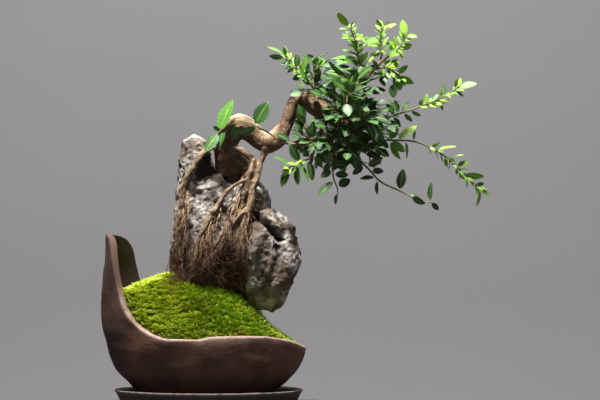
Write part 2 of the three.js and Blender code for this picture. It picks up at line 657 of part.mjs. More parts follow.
function fillLeaf(curve, i, seed, attempt) {
  const last = fillLeaves.count - 1;
  const t = mix(fillLeaves.start, 1, i / last);
  const base = curve.getPointAt(t);
  const forward = curve.getTangentAt(t);
  const turn = Math.PI * i + fillLeaves.turn * (draw(seed, 1, attempt) - 0.5);
  const side = new THREE.Vector3(0, 0, 1).cross(forward).normalize().applyAxisAngle(forward, turn);
  const out = fillLeaves.out[i === last ? 0 : 1];
  const along = forward.clone().multiplyScalar(fillLeaves.forward).addScaledVector(side, out).normalize();
  const facing = new THREE.Vector3(draw(seed, 2, attempt) - 0.5, draw(seed, 3, attempt) - 0.5, 1);
  const reach = mix(...fillLeaves.length, draw(seed, 4));
  return leafSolid(base, along, facing, reach, reach * fillLeaves.width);
}

const boxesMeet = (a, b) => [0, 1, 2].every((k) => a.min[k] <= b.max[k] && b.min[k] <= a.max[k]);

// Sprays: each leaf takes the first of its tries that is clear of everything, or at least of
// every other spray and of the wood; one that finds none is left out
function buildSprays(woodCut) {
  const built = [];
  const makers = [];
  const add = (name, points, color, leaves) => {
    const curve = new THREE.CatmullRomCurve3(points.map(vector), false, 'centripetal');
    const steps = Math.max(4, Math.round(curve.getLength() / 9));
    const radii = points.map((_, i) => mix(...twigRadius, i / (points.length - 1)));
    const twig = largest(limb(points.map(vector), radii, 3, steps).subtract(woodCut));
    built.push({ name, color: leafColors[color], solids: [twig] });
    makers.push(leaves(curve));
  };
  for (const [name, { twig, leaves, color }] of Object.entries(sprays)) {
    add(name, twig, color, (curve) => leaves.map((row) => (seed, attempt) => (
      shownLeaf(curve, curve.getLength(), row, seed, attempt))));
  }
  for (const [name, { from, to }] of Object.entries(fillSprays)) {
    const middle = from.map((_, k) => mix(from[k], to[k], 0.5) + (k === 2 ? fillLeaves.rise : 0));
    add(name, [from, middle, to], 'dark', (curve) => Array.from({ length: fillLeaves.count }, (_, i) => (
      (seed, attempt) => fillLeaf(curve, i, seed, attempt))));
  }
  const placed = [{ owner: -1, solid: woodCut, box: woodCut.boundingBox() }];
  built.forEach(({ solids: [solid] }, owner) => placed.push({ owner, solid, box: solid.boundingBox() }));
  makers.forEach((leafMakers, owner) => leafMakers.forEach((make, i) => {
    const seed = owner * 40 + i;
    let second = null;
    for (let attempt = 0; attempt < blade.tries; attempt += 1) {
      const leaf = make(seed, attempt);
      const box = leaf.boundingBox();
      const near = placed.filter((other) => boxesMeet(box, other.box));
      const hits = near.filter((other) => !leaf.intersect(other.solid).isEmpty());
      const entry = { owner, solid: leaf, box };
      const foreign = hits.some((other) => other.owner !== owner);
      if (!foreign && hits.length <= 1) {
        second = entry;
        break;
      }
      if (!foreign && !second) second = entry;
    }
    if (second) {
      placed.push(second);
      built[owner].solids.push(second.solid);
    }
  }));
  return built.map(({ name, color, solids }) => ({ name, color, solid: largest(join(solids)) }));
}

// The assembly

const group = new THREE.Group();

function addPiece(name, geometry, color, roughness) {
  const material = new THREE.MeshStandardMaterial({ color, roughness, metalness: 0 });
  const piece = new THREE.Mesh(geometry, material);
  piece.name = name;
  group.add(piece);
  return piece;
}

const rock = rockSolid(0);
const rockCut = rockSolid(gap);
const rockPit = join(rockLumps.map((each) => lump({ ...each, detail: 2 }, 3)));
const rockMesh = addPiece('rock', geometryOf(rock), 0x8f867c, 0.9);
rockMesh.material.side = THREE.DoubleSide;
rockMesh.updateMatrixWorld();

// Depth of the rock's face at a place in the front view, or of its middle where there is none
const caster = new THREE.Raycaster();
function rockDepth(x, z, side) {
  caster.set(new THREE.Vector3(x, side * 200, z), new THREE.Vector3(0, -side, 0));
  const hit = caster.intersectObject(rockMesh)[0];
  return hit ? hit.point.y : side * 12;
}

const wood = largest(woodSolid(rockDepth, 0).subtract(rockCut));
const woodCut = woodSolid(rockDepth, gap);

addPiece('saucer', saucerGeometry(), 0x5a4a42, 0.75);
addPiece('pot', geometryOf(potSolid()), 0x4a342a, 0.85);
addPiece('soil', geometryOf(largest(soilSolid().subtract(rockPit))), 0x2e221a, 1);
addPiece('moss', geometryOf(largest(mossSolid().subtract(rockCut).subtract(woodCut))), 0x7e9420, 1);
addPiece('trunk_and_roots', geometryOf(wood), 0x8a7058, 0.85);
for (const { name, color, solid } of buildSprays(woodCut)) addPiece(name, geometryOf(solid), color, 0.5);

export default group;
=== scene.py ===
# A Chinese elm grown over a limestone rock, in a winged clay pot on its saucer:
# the finish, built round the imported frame. Shapes are worked out in millimetres, +Z up,
# with the front seen along +Y, and go into their meshes in metres.
import json

import bpy
import numpy as np
from mathutils import Matrix, Vector
from mathutils.bvhtree import BVHTree

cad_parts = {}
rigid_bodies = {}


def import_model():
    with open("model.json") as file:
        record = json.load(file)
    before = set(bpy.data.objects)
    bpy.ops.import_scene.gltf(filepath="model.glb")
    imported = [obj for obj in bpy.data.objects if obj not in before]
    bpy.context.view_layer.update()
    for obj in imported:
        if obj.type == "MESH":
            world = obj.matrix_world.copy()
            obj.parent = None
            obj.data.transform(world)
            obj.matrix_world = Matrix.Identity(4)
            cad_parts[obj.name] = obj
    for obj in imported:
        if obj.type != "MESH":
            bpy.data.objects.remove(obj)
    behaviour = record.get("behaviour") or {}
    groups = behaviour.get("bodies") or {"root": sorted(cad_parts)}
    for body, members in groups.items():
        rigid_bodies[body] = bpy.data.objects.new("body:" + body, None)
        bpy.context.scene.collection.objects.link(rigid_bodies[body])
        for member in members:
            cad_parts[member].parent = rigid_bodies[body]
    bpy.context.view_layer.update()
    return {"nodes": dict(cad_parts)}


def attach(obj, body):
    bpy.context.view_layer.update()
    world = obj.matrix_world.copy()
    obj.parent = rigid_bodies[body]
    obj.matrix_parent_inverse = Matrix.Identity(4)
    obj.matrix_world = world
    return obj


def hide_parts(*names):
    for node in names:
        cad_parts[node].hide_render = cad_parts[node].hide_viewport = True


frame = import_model()
mm = 0.001
print("frame loaded")


# Numbers and arrays

def mix(a, b, t):
    return a + (b - a) * t


def smoothStep(low, high, x):
    # From 0 at low to 1 at high, as three times the square less twice the cube
    t = np.clip((x - low) / (high - low), 0, 1)
    return t * t * (3 - 2 * t)


def unit(v):
    return v / np.maximum(np.linalg.norm(v, axis=-1, keepdims=True), 1e-9)


def draw(a, b=0, c=0):
    # A repeatable draw between 0 and 1: the fraction of a large sine
    s = np.sin(a * 127.1 + b * 311.7 + c * 74.7 + 0.5) * 43758.5453
    return s - np.floor(s)


def cornerValues(cell, seed):
    # A value between -1 and 1 for each whole-number corner, from its mixed bits
    h = cell[:, 0] * 374761393 + cell[:, 1] * 668265263 + cell[:, 2] * 1440662683 + seed * 974634777
    h = (h ^ (h >> 13)) * 1274126177 & 0x7FFFFFFF
    h = (h ^ (h >> 15)) * 1103515245 & 0x7FFFFFFF
    return (h >> 7) / 0xFFFFFF * 2 - 1


def noise(points, size, seed):
    # Smooth noise between -1 and 1: values at the corners of cubes of that size, eased between them
    p = np.asarray(points, float) / size
    cell = np.floor(p).astype(np.int64)
    f = p - cell
    u = f * f * f * (f * (f * 6 - 15) + 10)
    total = np.zeros(len(p))
    for corner in np.ndindex(2, 2, 2):
        share = np.prod(np.where(corner, u, 1 - u), axis=1)
        total += share * cornerValues(cell + np.array(corner), seed)
    return total


def roughNoise(points, size, seed, layers):
    # Layers of noise, each half as large and half as strong as the one before
    return sum(noise(points, np.asarray(size) / 2 ** k, seed + k) / 2 ** k for k in range(layers))


def cellDistance(points, size, seed):
    # Distance to the nearest of scattered points, one in each cube, as a share of the cube's size
    p = np.asarray(points, float) / size
    cell = np.floor(p).astype(np.int64)
    best = np.full(len(p), 9.0)
    for corner in np.ndindex(3, 3, 3):
        c = cell + np.array(corner) - 1
        spot = c + 0.5 + 0.5 * np.stack([cornerValues(c, seed + k) for k in (1, 2, 3)], axis=1)
        best = np.minimum(best, np.linalg.norm(spot - p, axis=1))
    return best


def smoothProfile(pairs):
    # A curve y(x) through the pairs that never swings past them
    x, y = np.array(pairs, float).T
    slope = np.diff(y) / np.diff(x)
    before, after = np.r_[slope[0], slope], np.r_[slope, slope[-1]]
    total = np.where(before + after == 0, 1, before + after)
    tangent = np.where(before * after <= 0, 0, 2 * before * after / total)

    def curve(q):
        q = np.asarray(q, float)
        i = np.clip(np.searchsorted(x, q) - 1, 0, len(x) - 2)
        width = x[i + 1] - x[i]
        t = np.clip((q - x[i]) / width, 0, 1)
        u = 1 - t
        start = u * u * (1 + 2 * t) * y[i] + t * u * u * width * tangent[i]
        return start + t * t * (3 - 2 * t) * y[i + 1] - t * t * u * width * tangent[i + 1]
    return curve


def curvePoints(points, t):
    # Centripetal Catmull-Rom curve through the points, at parameters t between 0 and 1
    p = np.asarray(points, float)
    p = np.vstack([2 * p[0] - p[1], p, 2 * p[-1] - p[-2]])
    place = np.clip(t, 0, 1) * (len(p) - 3)
    i = np.minimum(place.astype(int), len(p) - 4)
    w = (place - i)[:, None]
    a, b, c, d = p[i], p[i + 1], p[i + 2], p[i + 3]
    da, db, dc = (np.sqrt(np.linalg.norm(q - r, axis=1))[:, None] for q, r in ((b, a), (c, b), (d, c)))
    leave = ((b - a) / da - (c - a) / (da + db) + (c - b) / db) * db
    arrive = ((c - b) / db - (d - b) / (db + dc) + (d - c) / dc) * db
    return b + w * leave + w * w * (3 * (c - b) - 2 * leave - arrive) + w ** 3 * (2 * (b - c) + leave + arrive)


def travelled(line):
    # The distance along a line of points, up to each of them
    return np.r_[0, np.cumsum(np.linalg.norm(np.diff(line, axis=0), axis=1))]


def evenly(points, shares):
    # Points and directions at shares of the curve's length, which is measured in small steps
    steps, reach = 401, 1e-3
    t = np.linspace(0, 1, steps)
    length = travelled(curvePoints(points, t))
    at = np.interp(np.asarray(shares, float) * length[-1], length, t)
    ahead = curvePoints(points, np.minimum(at + reach, 1)) - curvePoints(points, np.maximum(at - reach, 0))
    return curvePoints(points, at), unit(ahead), length[-1]


# Meshes

def gridFaces(rows, columns, aroundRows=False, aroundColumns=False):
    # Quads between the points of a grid, closed round on itself where told to be
    r = np.arange(rows if aroundRows else rows - 1)[:, None]
    c = np.arange(columns if aroundColumns else columns - 1)[None, :]
    r2, c2 = (r + 1) % rows, (c + 1) % columns
    corners = [r * columns + c, r * columns + c2, r2 * columns + c2, r2 * columns + c]
    return np.stack(np.broadcast_arrays(*corners), axis=-1).reshape(-1, 4)


def fan(ring, middle):
    # Triangles from a ring of point numbers to one more point
    return np.stack([ring, np.roll(ring, -1), np.full(len(ring), middle)], axis=1)


def capFaces(rings, sides):
    # Fans that close a stack of rings at both ends, round the two points that follow the rings
    last = rings * sides
    return np.vstack([fan(np.arange(sides)[::-1], last), fan(np.arange(last - sides, last), last + 1)])


def putMesh(name, points, *faces):
    # A mesh of points in millimetres and arrays of faces, each array with its own number of corners
    mesh = bpy.data.meshes.new(name)
    mesh.vertices.add(len(points))
    mesh.vertices.foreach_set("co", (np.asarray(points) * mm).astype(np.float32).ravel())
    loops = np.concatenate([f.ravel() for f in faces]).astype(np.int32)
    sizes = np.concatenate([np.full(len(f), f.shape[1]) for f in faces])
    mesh.loops.add(len(loops))
    mesh.loops.foreach_set("vertex_index", loops)
    mesh.polygons.add(len(sizes))
    mesh.polygons.foreach_set("loop_start", (np.cumsum(sizes) - sizes).astype(np.int32))
    mesh.update(calc_edges=True)
    mesh.validate()
    return mesh


def readValues(items, key, width=1, kind=np.float32):
    # One property of all points, corners, edges or faces of a mesh
    values = np.zeros(len(items) * width, kind)
    items.foreach_get(key, values)
    return values


def meshPoints(mesh):
    return readValues(mesh.vertices, "co", 3).reshape(-1, 3).astype(float) / mm


def meshNormals(mesh):
    return readValues(mesh.vertex_normals, "vector", 3).reshape(-1, 3).astype(float)


def setPoints(mesh, points):
    mesh.vertices.foreach_set("co", (points * mm).astype(np.float32).ravel())
    mesh.update()


def pushOut(mesh, amount):
    # Every point moved along its normal
    setPoints(mesh, meshPoints(mesh) + meshNormals(mesh) * amount[:, None])


def storeValues(mesh, name, values):
    # One number or one vector for each point, for the materials to read
    values = np.asarray(values, np.float32)
    layer = mesh.attributes.new(name, "FLOAT" if values.ndim == 1 else "FLOAT_VECTOR", "POINT")
    layer.data.foreach_set("value" if values.ndim == 1 else "vector", values.ravel())


def setSmooth(mesh, smooth):
    mesh.polygons.foreach_set("use_smooth", np.full(len(mesh.polygons), smooth))


def linkObject(name, data):
    made = bpy.data.objects.new(name, data)
    bpy.context.scene.collection.objects.link(made)
    return made


def addPiece(name, mesh, material, slot, *nodes, smooth=True):
    # One visible piece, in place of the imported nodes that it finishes
    piece = linkObject(name, mesh)
    mesh.materials.clear()
    mesh.materials.append(material)
    setSmooth(mesh, smooth)
    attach(piece, "root")
    if nodes:
        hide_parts(*nodes)
    print(name, len(mesh.polygons), "faces")


def voxelMesh(name, mesh, voxel, rounds):
    # The mesh rebuilt as one skin on a grid of voxels, then evened out
    helper = linkObject(name, mesh)
    rebuild = helper.modifiers.new("voxels", "REMESH")
    rebuild.mode = "VOXEL"
    rebuild.voxel_size = voxel * mm
    even = helper.modifiers.new("even", "SMOOTH")
    even.factor = 0.5
    even.iterations = rounds
    made = bpy.data.meshes.new_from_object(helper.evaluated_get(bpy.context.evaluated_depsgraph_get()))
    bpy.data.objects.remove(helper)
    return made


def nodeMesh(node):
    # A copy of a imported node's mesh with its doubled points merged, as points and triangles
    source = frame["nodes"][node].data
    points = meshPoints(source)
    _, first, same = np.unique(np.round(points, 3), axis=0, return_index=True, return_inverse=True)
    corners = readValues(source.loops, "vertex_index", kind=np.int32)
    return points[first], same.ravel()[corners].reshape(-1, 3)


def treeOf(points, faces):
    return BVHTree.FromPolygons([tuple(p) for p in points], [tuple(f) for f in faces])


def treeOfMesh(mesh):
    corners = readValues(mesh.loops, "vertex_index", kind=np.int32)
    sizes = readValues(mesh.polygons, "loop_total", kind=np.int32)
    return treeOf(meshPoints(mesh), np.split(corners, np.cumsum(sizes)[:-1]))


def pathFrames(line):
    # Directions along, across and up for each point of a path, turned as little as they can be
    ahead = unit(np.gradient(line, axis=0))
    ups = np.zeros_like(line)
    up = np.array([0, 1, 0.01])
    for k, along in enumerate(ahead):
        up = unit(up - along * (up @ along))
        ups[k] = up
    return ahead, np.cross(ahead, ups), ups


def tube(line, radii, sides):
    # Circles square to a path, joined in a skin, with a point at each end
    _, across, up = pathFrames(line)
    a = np.linspace(0, 2 * np.pi, sides, endpoint=False)
    ring = np.cos(a)[:, None] * up[:, None] + np.sin(a)[:, None] * across[:, None]
    points = (line[:, None] + ring * np.asarray(radii)[:, None, None]).reshape(-1, 3)
    points = np.vstack([points, line[0], line[-1]])
    return points, gridFaces(len(line), sides, aroundColumns=True), capFaces(len(line), sides)


def gather(shapes):
    # Several shapes of points, quads and triangles as one
    points, *faces = zip(*shapes)
    starts = np.cumsum([0] + [len(p) for p in points[:-1]])
    return np.vstack(points), *(np.vstack([f + start for f, start in zip(kind, starts)]) for kind in faces)


# Materials

def srgb(red, green, blue):
    # A screen colour of 0 to 255 as the linear colour that shaders use
    c = np.array([red, green, blue]) / 255
    return tuple(np.where(c <= 0.04045, c / 12.92, ((c + 0.055) / 1.055) ** 2.4)) + (1,)


def setInputs(tree, made, inputs):
    # A socket is linked, and any other value is set
    for key, value in inputs.items():
        if isinstance(value, bpy.types.NodeSocket):
            tree.links.new(value, made.inputs[key])
        else:
            made.inputs[key].default_value = value


def addNode(tree, kind, inputs, **settings):
    # A shader node with its settings and inputs
    made = tree.nodes.new("ShaderNode" + kind)
    for name, value in settings.items():
        setattr(made, name, value)
    setInputs(tree, made, inputs)
    return made


def mathNode(tree, operation, a, b=0.0):
    return addNode(tree, "Math", {0: a, 1: b}, operation=operation).outputs[0]


def blendColors(tree, factor, a, b):
    return addNode(tree, "Mix", {0: factor, 6: a, 7: b}, data_type="RGBA").outputs[2]


def layered(tree, color, *layers):
    # Each layer lays its colour over those before it, where its mask says and at its strength
    for mask, strength, over in layers:
        if strength < 1:
            mask = mathNode(tree, "MULTIPLY", mask, strength)
        color = blendColors(tree, mask, color, over)
    return color


def rampValue(tree, value, low, high, start=0.0, end=1.0, kind="LINEAR"):
    # From start to end while the value goes from low to high, and level beyond them
    limits = {"Value": value, "From Min": low, "From Max": high, "To Min": start, "To Max": end}
    return addNode(tree, "MapRange", limits, interpolation_type=kind).outputs["Result"]


def cloud(tree, place, scale, detail, roughness=0.7, distortion=0.0):
    # Layered noise about a half
    return addNode(tree, "TexNoise", {"Vector": place, "Scale": scale, "Detail": detail, "Roughness": roughness,
                                      "Distortion": distortion}).outputs["Fac"]


def stretched(tree, place, factors):
    # A place whose patterns are drawn out where a factor is small
    return addNode(tree, "VectorMath", {0: place, 1: factors}, operation="MULTIPLY").outputs[0]


def partsOf(tree, place):
    return addNode(tree, "SeparateXYZ", {0: place}).outputs


def newGroup(name, **numbers):
    # A shader node group that takes a place and these numbers, and gives a mask
    group = bpy.data.node_groups.new(name, "ShaderNodeTree")
    group.interface.new_socket("Place", in_out="INPUT", socket_type="NodeSocketVector")
    for label, value in numbers.items():
        group.interface.new_socket(label, in_out="INPUT", socket_type="NodeSocketFloat").default_value = value
    group.interface.new_socket("Mask", in_out="OUTPUT", socket_type="NodeSocketFloat")
    return group, group.nodes.new("NodeGroupInput").outputs, group.nodes.new("NodeGroupOutput").inputs["Mask"]


def makePatches():
    # Patches of noise: a mask that rises smoothly between two levels of layered noise
    group, given, mask = newGroup("patches", Scale=100.0, Detail=4.0, Low=0.4, High=0.6)
    level = cloud(group, given["Place"], given["Scale"], given["Detail"], 0.6)
    group.links.new(rampValue(group, level, given["Low"], given["High"], kind="SMOOTHSTEP"), mask)
    return group


def makeSpecks():
    # Specks: small round spots scattered over the surface, each where a cell's middle is near
    group, given, mask = newGroup("specks", Scale=300.0, Size=0.25)
    far = addNode(group, "TexVoronoi", {"Vector": given["Place"], "Scale": given["Scale"]}).outputs["Distance"]
    group.links.new(rampValue(group, far, given["Size"], 0.0, kind="SMOOTHSTEP"), mask)
    return group


patchesGroup = makePatches()
specksGroup = makeSpecks()


def useGroup(tree, group, **inputs):
    made = tree.nodes.new("ShaderNodeGroup")
    made.node_tree = group
    setInputs(tree, made, inputs)
    return made.outputs[0]


def patches(tree, place, scale, detail, low, high):
    return useGroup(tree, patchesGroup, Place=place, Scale=scale, Detail=detail, Low=low, High=high)


def specks(tree, place, scale, size):
    return useGroup(tree, specksGroup, Place=place, Scale=scale, Size=size)


def newMaterial(name, roughness, specular):
    material = bpy.data.materials.new(name)
    material.use_nodes = True
    tree = material.node_tree
    shader = tree.nodes["Principled BSDF"]
    shader.inputs["Roughness"].default_value = roughness
    shader.inputs["Specular IOR Level"].default_value = specular
    return material, tree, shader


def setColor(tree, shader, color):
    tree.links.new(color, shader.inputs["Base Color"])


def objectPlace(tree):
    return addNode(tree, "TexCoord", {}).outputs["Object"]


def pieceValue(tree, name, output="Fac"):
    return addNode(tree, "Attribute", {}, attribute_name=name).outputs[output]


def addBump(tree, shader, height, distance, strength):
    bump = addNode(tree, "Bump", {"Height": height, "Strength": strength, "Distance": distance})
    tree.links.new(bump.outputs["Normal"], shader.inputs["Normal"])


def patchedMaterial(name, roughness, specular, patch, colors):
    # Two colours in patches of these numbers: scale, detail, low and high
    material, tree, shader = newMaterial(name, roughness, specular)
    place = objectPlace(tree)
    mask = patches(tree, place, *patch)
    setColor(tree, shader, blendColors(tree, mask, *colors))
    return material, tree, shader, place, mask


# Camera, room and light

# Places and sizes in metres, and the sensor in millimetres
camera = {"eye": (0.082, -2.2, 0.170), "aim": (0.082, 0, 0.184), "seen": 0.54, "sensor": 36}
room = {"wallAt": 3.2, "bend": 0.9, "bendSteps": 24, "drop": 0.9, "height": 3.6, "front": -3.2, "side": 4.5,
        "color": srgb(146, 145, 146), "shade": 0.97}
plinth = {"half": (0.1, 0.062), "edge": 0.003, "color": srgb(74, 70, 68)}
lights = [
    {"name": "key", "at": (-0.1, -0.36, 1.55), "aim": (0.06, 0, 0.2), "size": 0.2, "power": 84,
     "color": (1, 0.98, 0.94)},
    {"name": "fill", "at": (0.2, -2.6, 0.9), "aim": (0.08, 0, 0.18), "size": 1.6, "power": 3.6,
     "color": (0.95, 0.97, 1)},
    {"name": "wallWash", "at": (0, 1.2, 2.4), "aim": (0.1, 3.2, -0.5), "size": 2.0, "power": 84,
     "color": (1, 0.99, 1)},
]
worldLight = {"color": (0.9, 0.92, 1, 1), "strength": 0.1}


def aimedObject(name, data, place, aim):
    # A camera or light that looks at a place
    made = linkObject(name, data)
    made.location = place
    made.rotation_euler = (Vector(aim) - Vector(place)).to_track_quat("-Z", "Y").to_euler()
    return made


def makeCamera():
    data = bpy.data.cameras.new("camera")
    data.sensor_width = camera["sensor"]
    distance = (Vector(camera["aim"]) - Vector(camera["eye"])).length
    data.lens = camera["sensor"] * distance / camera["seen"]
    bpy.context.scene.camera = aimedObject("camera", data, camera["eye"], camera["aim"])


def makeRoom():
    # A floor that sweeps up into a wall: a line, a quarter circle and a line, carried across
    a = np.linspace(0, np.pi / 2, room["bendSteps"])
    bendAt = room["wallAt"] - room["bend"]
    y = np.r_[room["front"], bendAt + room["bend"] * np.sin(a), room["wallAt"]]
    z = np.r_[0, room["bend"] * (1 - np.cos(a)), room["height"] + room["drop"]] - room["drop"]
    points = np.array([[x, yy, zz] for yy, zz in zip(y, z) for x in (-room["side"], room["side"])])
    mesh = putMesh("floor", points / mm, gridFaces(len(y), 2))
    shade = tuple(c * room["shade"] for c in room["color"][:3]) + (1,)
    mesh.materials.append(patchedMaterial("paleWall", 0.9, 0.1, (1.5, 4.0, 0.3, 0.7), (room["color"], shade))[0])
    setSmooth(mesh, True)
    floor = linkObject("floor", mesh)


def makeStand():
    # A narrow stand under the saucer: a block with its upper edges cut off
    x, y = plinth["half"]
    ring = np.array([[-x, -y], [x, -y], [x, y], [-x, y]])
    edge = plinth["edge"]
    corners = np.concatenate([np.c_[ring, np.full(4, -room["drop"])], np.c_[ring, np.full(4, -edge)],
                              np.c_[ring - edge * np.sign(ring), np.zeros(4)]])
    mesh = putMesh("stand", corners / mm, np.vstack([gridFaces(3, 4, aroundColumns=True), [[8, 9, 10, 11]]]))
    material, _, shader = newMaterial("darkStand", 0.6, 0.3)
    shader.inputs["Base Color"].default_value = plinth["color"]
    mesh.materials.append(material)
    stand = linkObject("stand", mesh)


def makeLights():
    # Square area lights and a dim room round them
    for each in lights:
        data = bpy.data.lights.new(each["name"], "AREA")
        data.size = each["size"]
        data.energy = each["power"]
        data.color = each["color"]
        aimedObject(each["name"], data, each["at"], each["aim"])
    world = bpy.data.worlds.new("room")
    world.use_nodes = True
    background = world.node_tree.nodes["Background"]
    background.inputs["Color"].default_value = worldLight["color"]
    background.inputs["Strength"].default_value = worldLight["strength"]
    bpy.context.scene.world = world
    bpy.context.scene.view_settings.view_transform = "Standard"


makeCamera()
makeRoom()
makeStand()
makeLights()
print("camera, room and lights made")


# Pot: an oval whose reach left, right and deep changes with height, under a rim that rises to a wing

pot = {
    "wall": 6, "foot": 4.35, "floor": 6, "drain": 6, "lip": 2, "footRound": 2, "waviness": 0.7,
    "sides": 420, "outsideRings": 74, "lipRings": 8, "insideRings": 40,
    # Pairs of height and reach
    "left": [[4, -56], [10, -63], [19, -71], [33, -84.6], [54, -91.8], [85, -96.4], [110, -96], [155, -92.5]],
    "right": [[4, 48], [10, 55.3], [20, 69.8], [39, 83], [51, 86.7], [70, 89], [155, 92]],
    "halfDepth": [[4, 33], [20, 45], [39, 53], [60, 57], [85, 58], [115, 56], [155, 49]],
    # Pairs of angle and height
    "rim": [[0, 52], [30, 57], [60, 62], [90, 66], [105, 74], [120, 88], [131, 104], [135, 113], [139, 130],
            [143, 143], [150, 150], [165, 153.5], [185, 154], [195, 152], [201, 147], [206, 135], [210, 120],
            [214, 105], [219, 92], [227, 77], [240, 65], [250, 61.5], [266, 61.5], [276, 64], [305, 64],
            [319, 61.5], [347, 54], [360, 52]],
    "hollows": 0.5, "hollowSize": (26, 26, 17), "toolMarks": 0.05, "markSize": (24, 24, 3.4),
    # How far below the rim the paler band runs: partly from handling, partly painted highlight
    "grit": 0.08, "gritSize": 2.2, "rubbedAndLit": (-7, -1.2),
}
potLeft, potRight, potHalfDepth, potRim = (smoothProfile(pot[k]) for k in ("left", "right", "halfDepth", "rim"))


def potPoint(angle, z, inset):
    # An oval at each height, with slow waves round it that fade towards the foot
    a = np.radians(angle)
    rise = np.clip((z - 20) / 25, 0, 1)
    wave = pot["waviness"] * rise * (np.sin(5 * a + z / 17) + 0.6 * np.sin(9 * a - z / 11))
    middle = (potLeft(z) + potRight(z)) / 2
    halfLength = (potRight(z) - potLeft(z)) / 2 - inset + wave
    halfDepth = potHalfDepth(z) - inset + wave
    return np.stack([middle + halfLength * np.cos(a), halfDepth * np.sin(a), z + 0 * a], axis=-1)


def makePotMesh():
    # Rings from the drain hole out under the floor, up the outside, over a half-round lip and down inside
    angles = np.linspace(0, 360, pot["sides"], endpoint=False)
    top = potRim(angles) - pot["lip"]
    inside = pot["foot"] + pot["floor"]
    a = np.radians(angles)
    drain = np.stack([np.cos(a), np.sin(a)], axis=-1) * pot["drain"]
    rings = [np.c_[drain, np.full(len(a), z)] for z in np.linspace(inside, pot["foot"], 4)]
    under = potPoint(angles, np.full(len(a), pot["foot"]), pot["footRound"])
    rings += [mix(rings[3], under, share) for share in (0.35, 0.7, 0.93)]
    for share in np.linspace(0, 1, pot["outsideRings"]) ** 1.1:
        inset = pot["footRound"] * (1 - smoothStep(0, 0.03, share))
        rings.append(potPoint(angles, mix(pot["foot"], top, share), inset))
    for turn in np.linspace(0, np.pi, pot["lipRings"] + 2)[1:-1]:
        inset = pot["wall"] / 2 * (1 - np.cos(turn))
        rings.append(potPoint(angles, top + pot["lip"] * np.sin(turn), inset))
    for share in np.linspace(1, 0, pot["insideRings"]):
        inset = pot["wall"] + pot["footRound"] * (1 - smoothStep(0, 0.05, share))
        rings.append(potPoint(angles, mix(inside, top, share), inset))
    points = np.concatenate(rings)
    mesh = putMesh("pot_clay", points, gridFaces(len(rings), len(a), True, True))
    grow = smoothStep(6, 24, points[:, 2])
    hollows = pot["hollows"] * roughNoise(points, pot["hollowSize"], 3, 2)
    marks = pot["toolMarks"] * noise(points + 4 * noise(points, 21, 8)[:, None], pot["markSize"], 5)
    grit = pot["grit"] * roughNoise(points, pot["gritSize"], 12, 2)
    pushOut(mesh, (hollows + marks) * grow + grit)
    # The paler rim band: partly from handling, partly painted highlight
    storeValues(mesh, "lip", smoothStep(*pot["rubbedAndLit"], points[:, 2] - np.tile(potRim(angles), len(rings))))
    # Painted shade: marks the inner wall, which the material darkens
    storeValues(mesh, "innerShade", np.repeat(np.arange(len(rings)) >= len(rings) - pot["insideRings"], len(a)))
    return mesh


def clayMaterial(name, body, dark, wornAndLit, roughness):
    # Unglazed clay: blotches; painted shade, darker towards the foot, to the left and on the inner wall;
    # and a paler rim, partly from handling and partly painted highlight
    material, tree, shader = newMaterial(name, roughness, 0.35)
    place = objectPlace(tree)
    parts = partsOf(tree, place)
    blotch = patches(tree, place, 38.0, 6.0, 0.36, 0.66)
    # Painted shade: darker towards the foot, to the left and on the inner wall
    footShade = rampValue(tree, parts["Z"], 0.045, 0.008)
    left = rampValue(tree, parts["X"], -0.055, -0.085, 0.0, 0.82)
    # The paler rim: partly from handling, partly painted highlight, less high on the wing
    rubbedAndLit = patches(tree, place, 160.0, 5.0, 0.25, 0.6)
    wing = rampValue(tree, parts["Z"], 0.07, 0.11, 1.0, 0.06)
    rim = mathNode(tree, "MULTIPLY", mathNode(tree, "MULTIPLY", pieceValue(tree, "lip"), rubbedAndLit), wing)
    grit = specks(tree, place, 520.0, 0.3)
    setColor(tree, shader, layered(
        tree, body, (blotch, 0.6, dark), (footShade, 0.85, dark), (left, 1, dark), (rim, 1, wornAndLit),
        (pieceValue(tree, "innerShade"), 0.92, srgb(26, 18, 14)), (grit, 0.28, wornAndLit)))
    addBump(tree, shader, mathNode(tree, "ADD", cloud(tree, place, 900.0, 5.0), grit), 0.00035, 0.7)
    return material


potClay = clayMaterial("potClay", srgb(110, 77, 60), srgb(50, 33, 25), srgb(150, 129, 116), 0.8)
addPiece("pot_clay", makePotMesh(), potClay, "pot_clay", "pot")


# Saucer: a turned dish with a rounded lip, narrowed front to back into an oval

saucer = {
    "halfLength": 84.6, "depthRatio": 0.71, "height": 14, "floor": 4, "middle": 6, "sides": 220, "steps": 70,
    # From under the foot up the outside, over the lip and down inside: how far in from the lip, and height
    "profile": [[12, 0], [8.5, 0], [7.2, 0.3], [6.4, 1.3], [4.2, 5.6], [1.4, 10.8], [0.3, 12.2], [0, 13.0],
                [0.2, 13.6], [0.8, 14], [1.7, 14], [2.4, 13.6], [3.2, 12.6], [4.7, 9.2], [6.6, 5.8],
                [7.8, 4.6], [9.5, 4], [30, 4]],
    # How pale the lip is: partly from handling, partly painted highlight
    "relief": 0.1, "wearAndHighlight": 0.55,
}


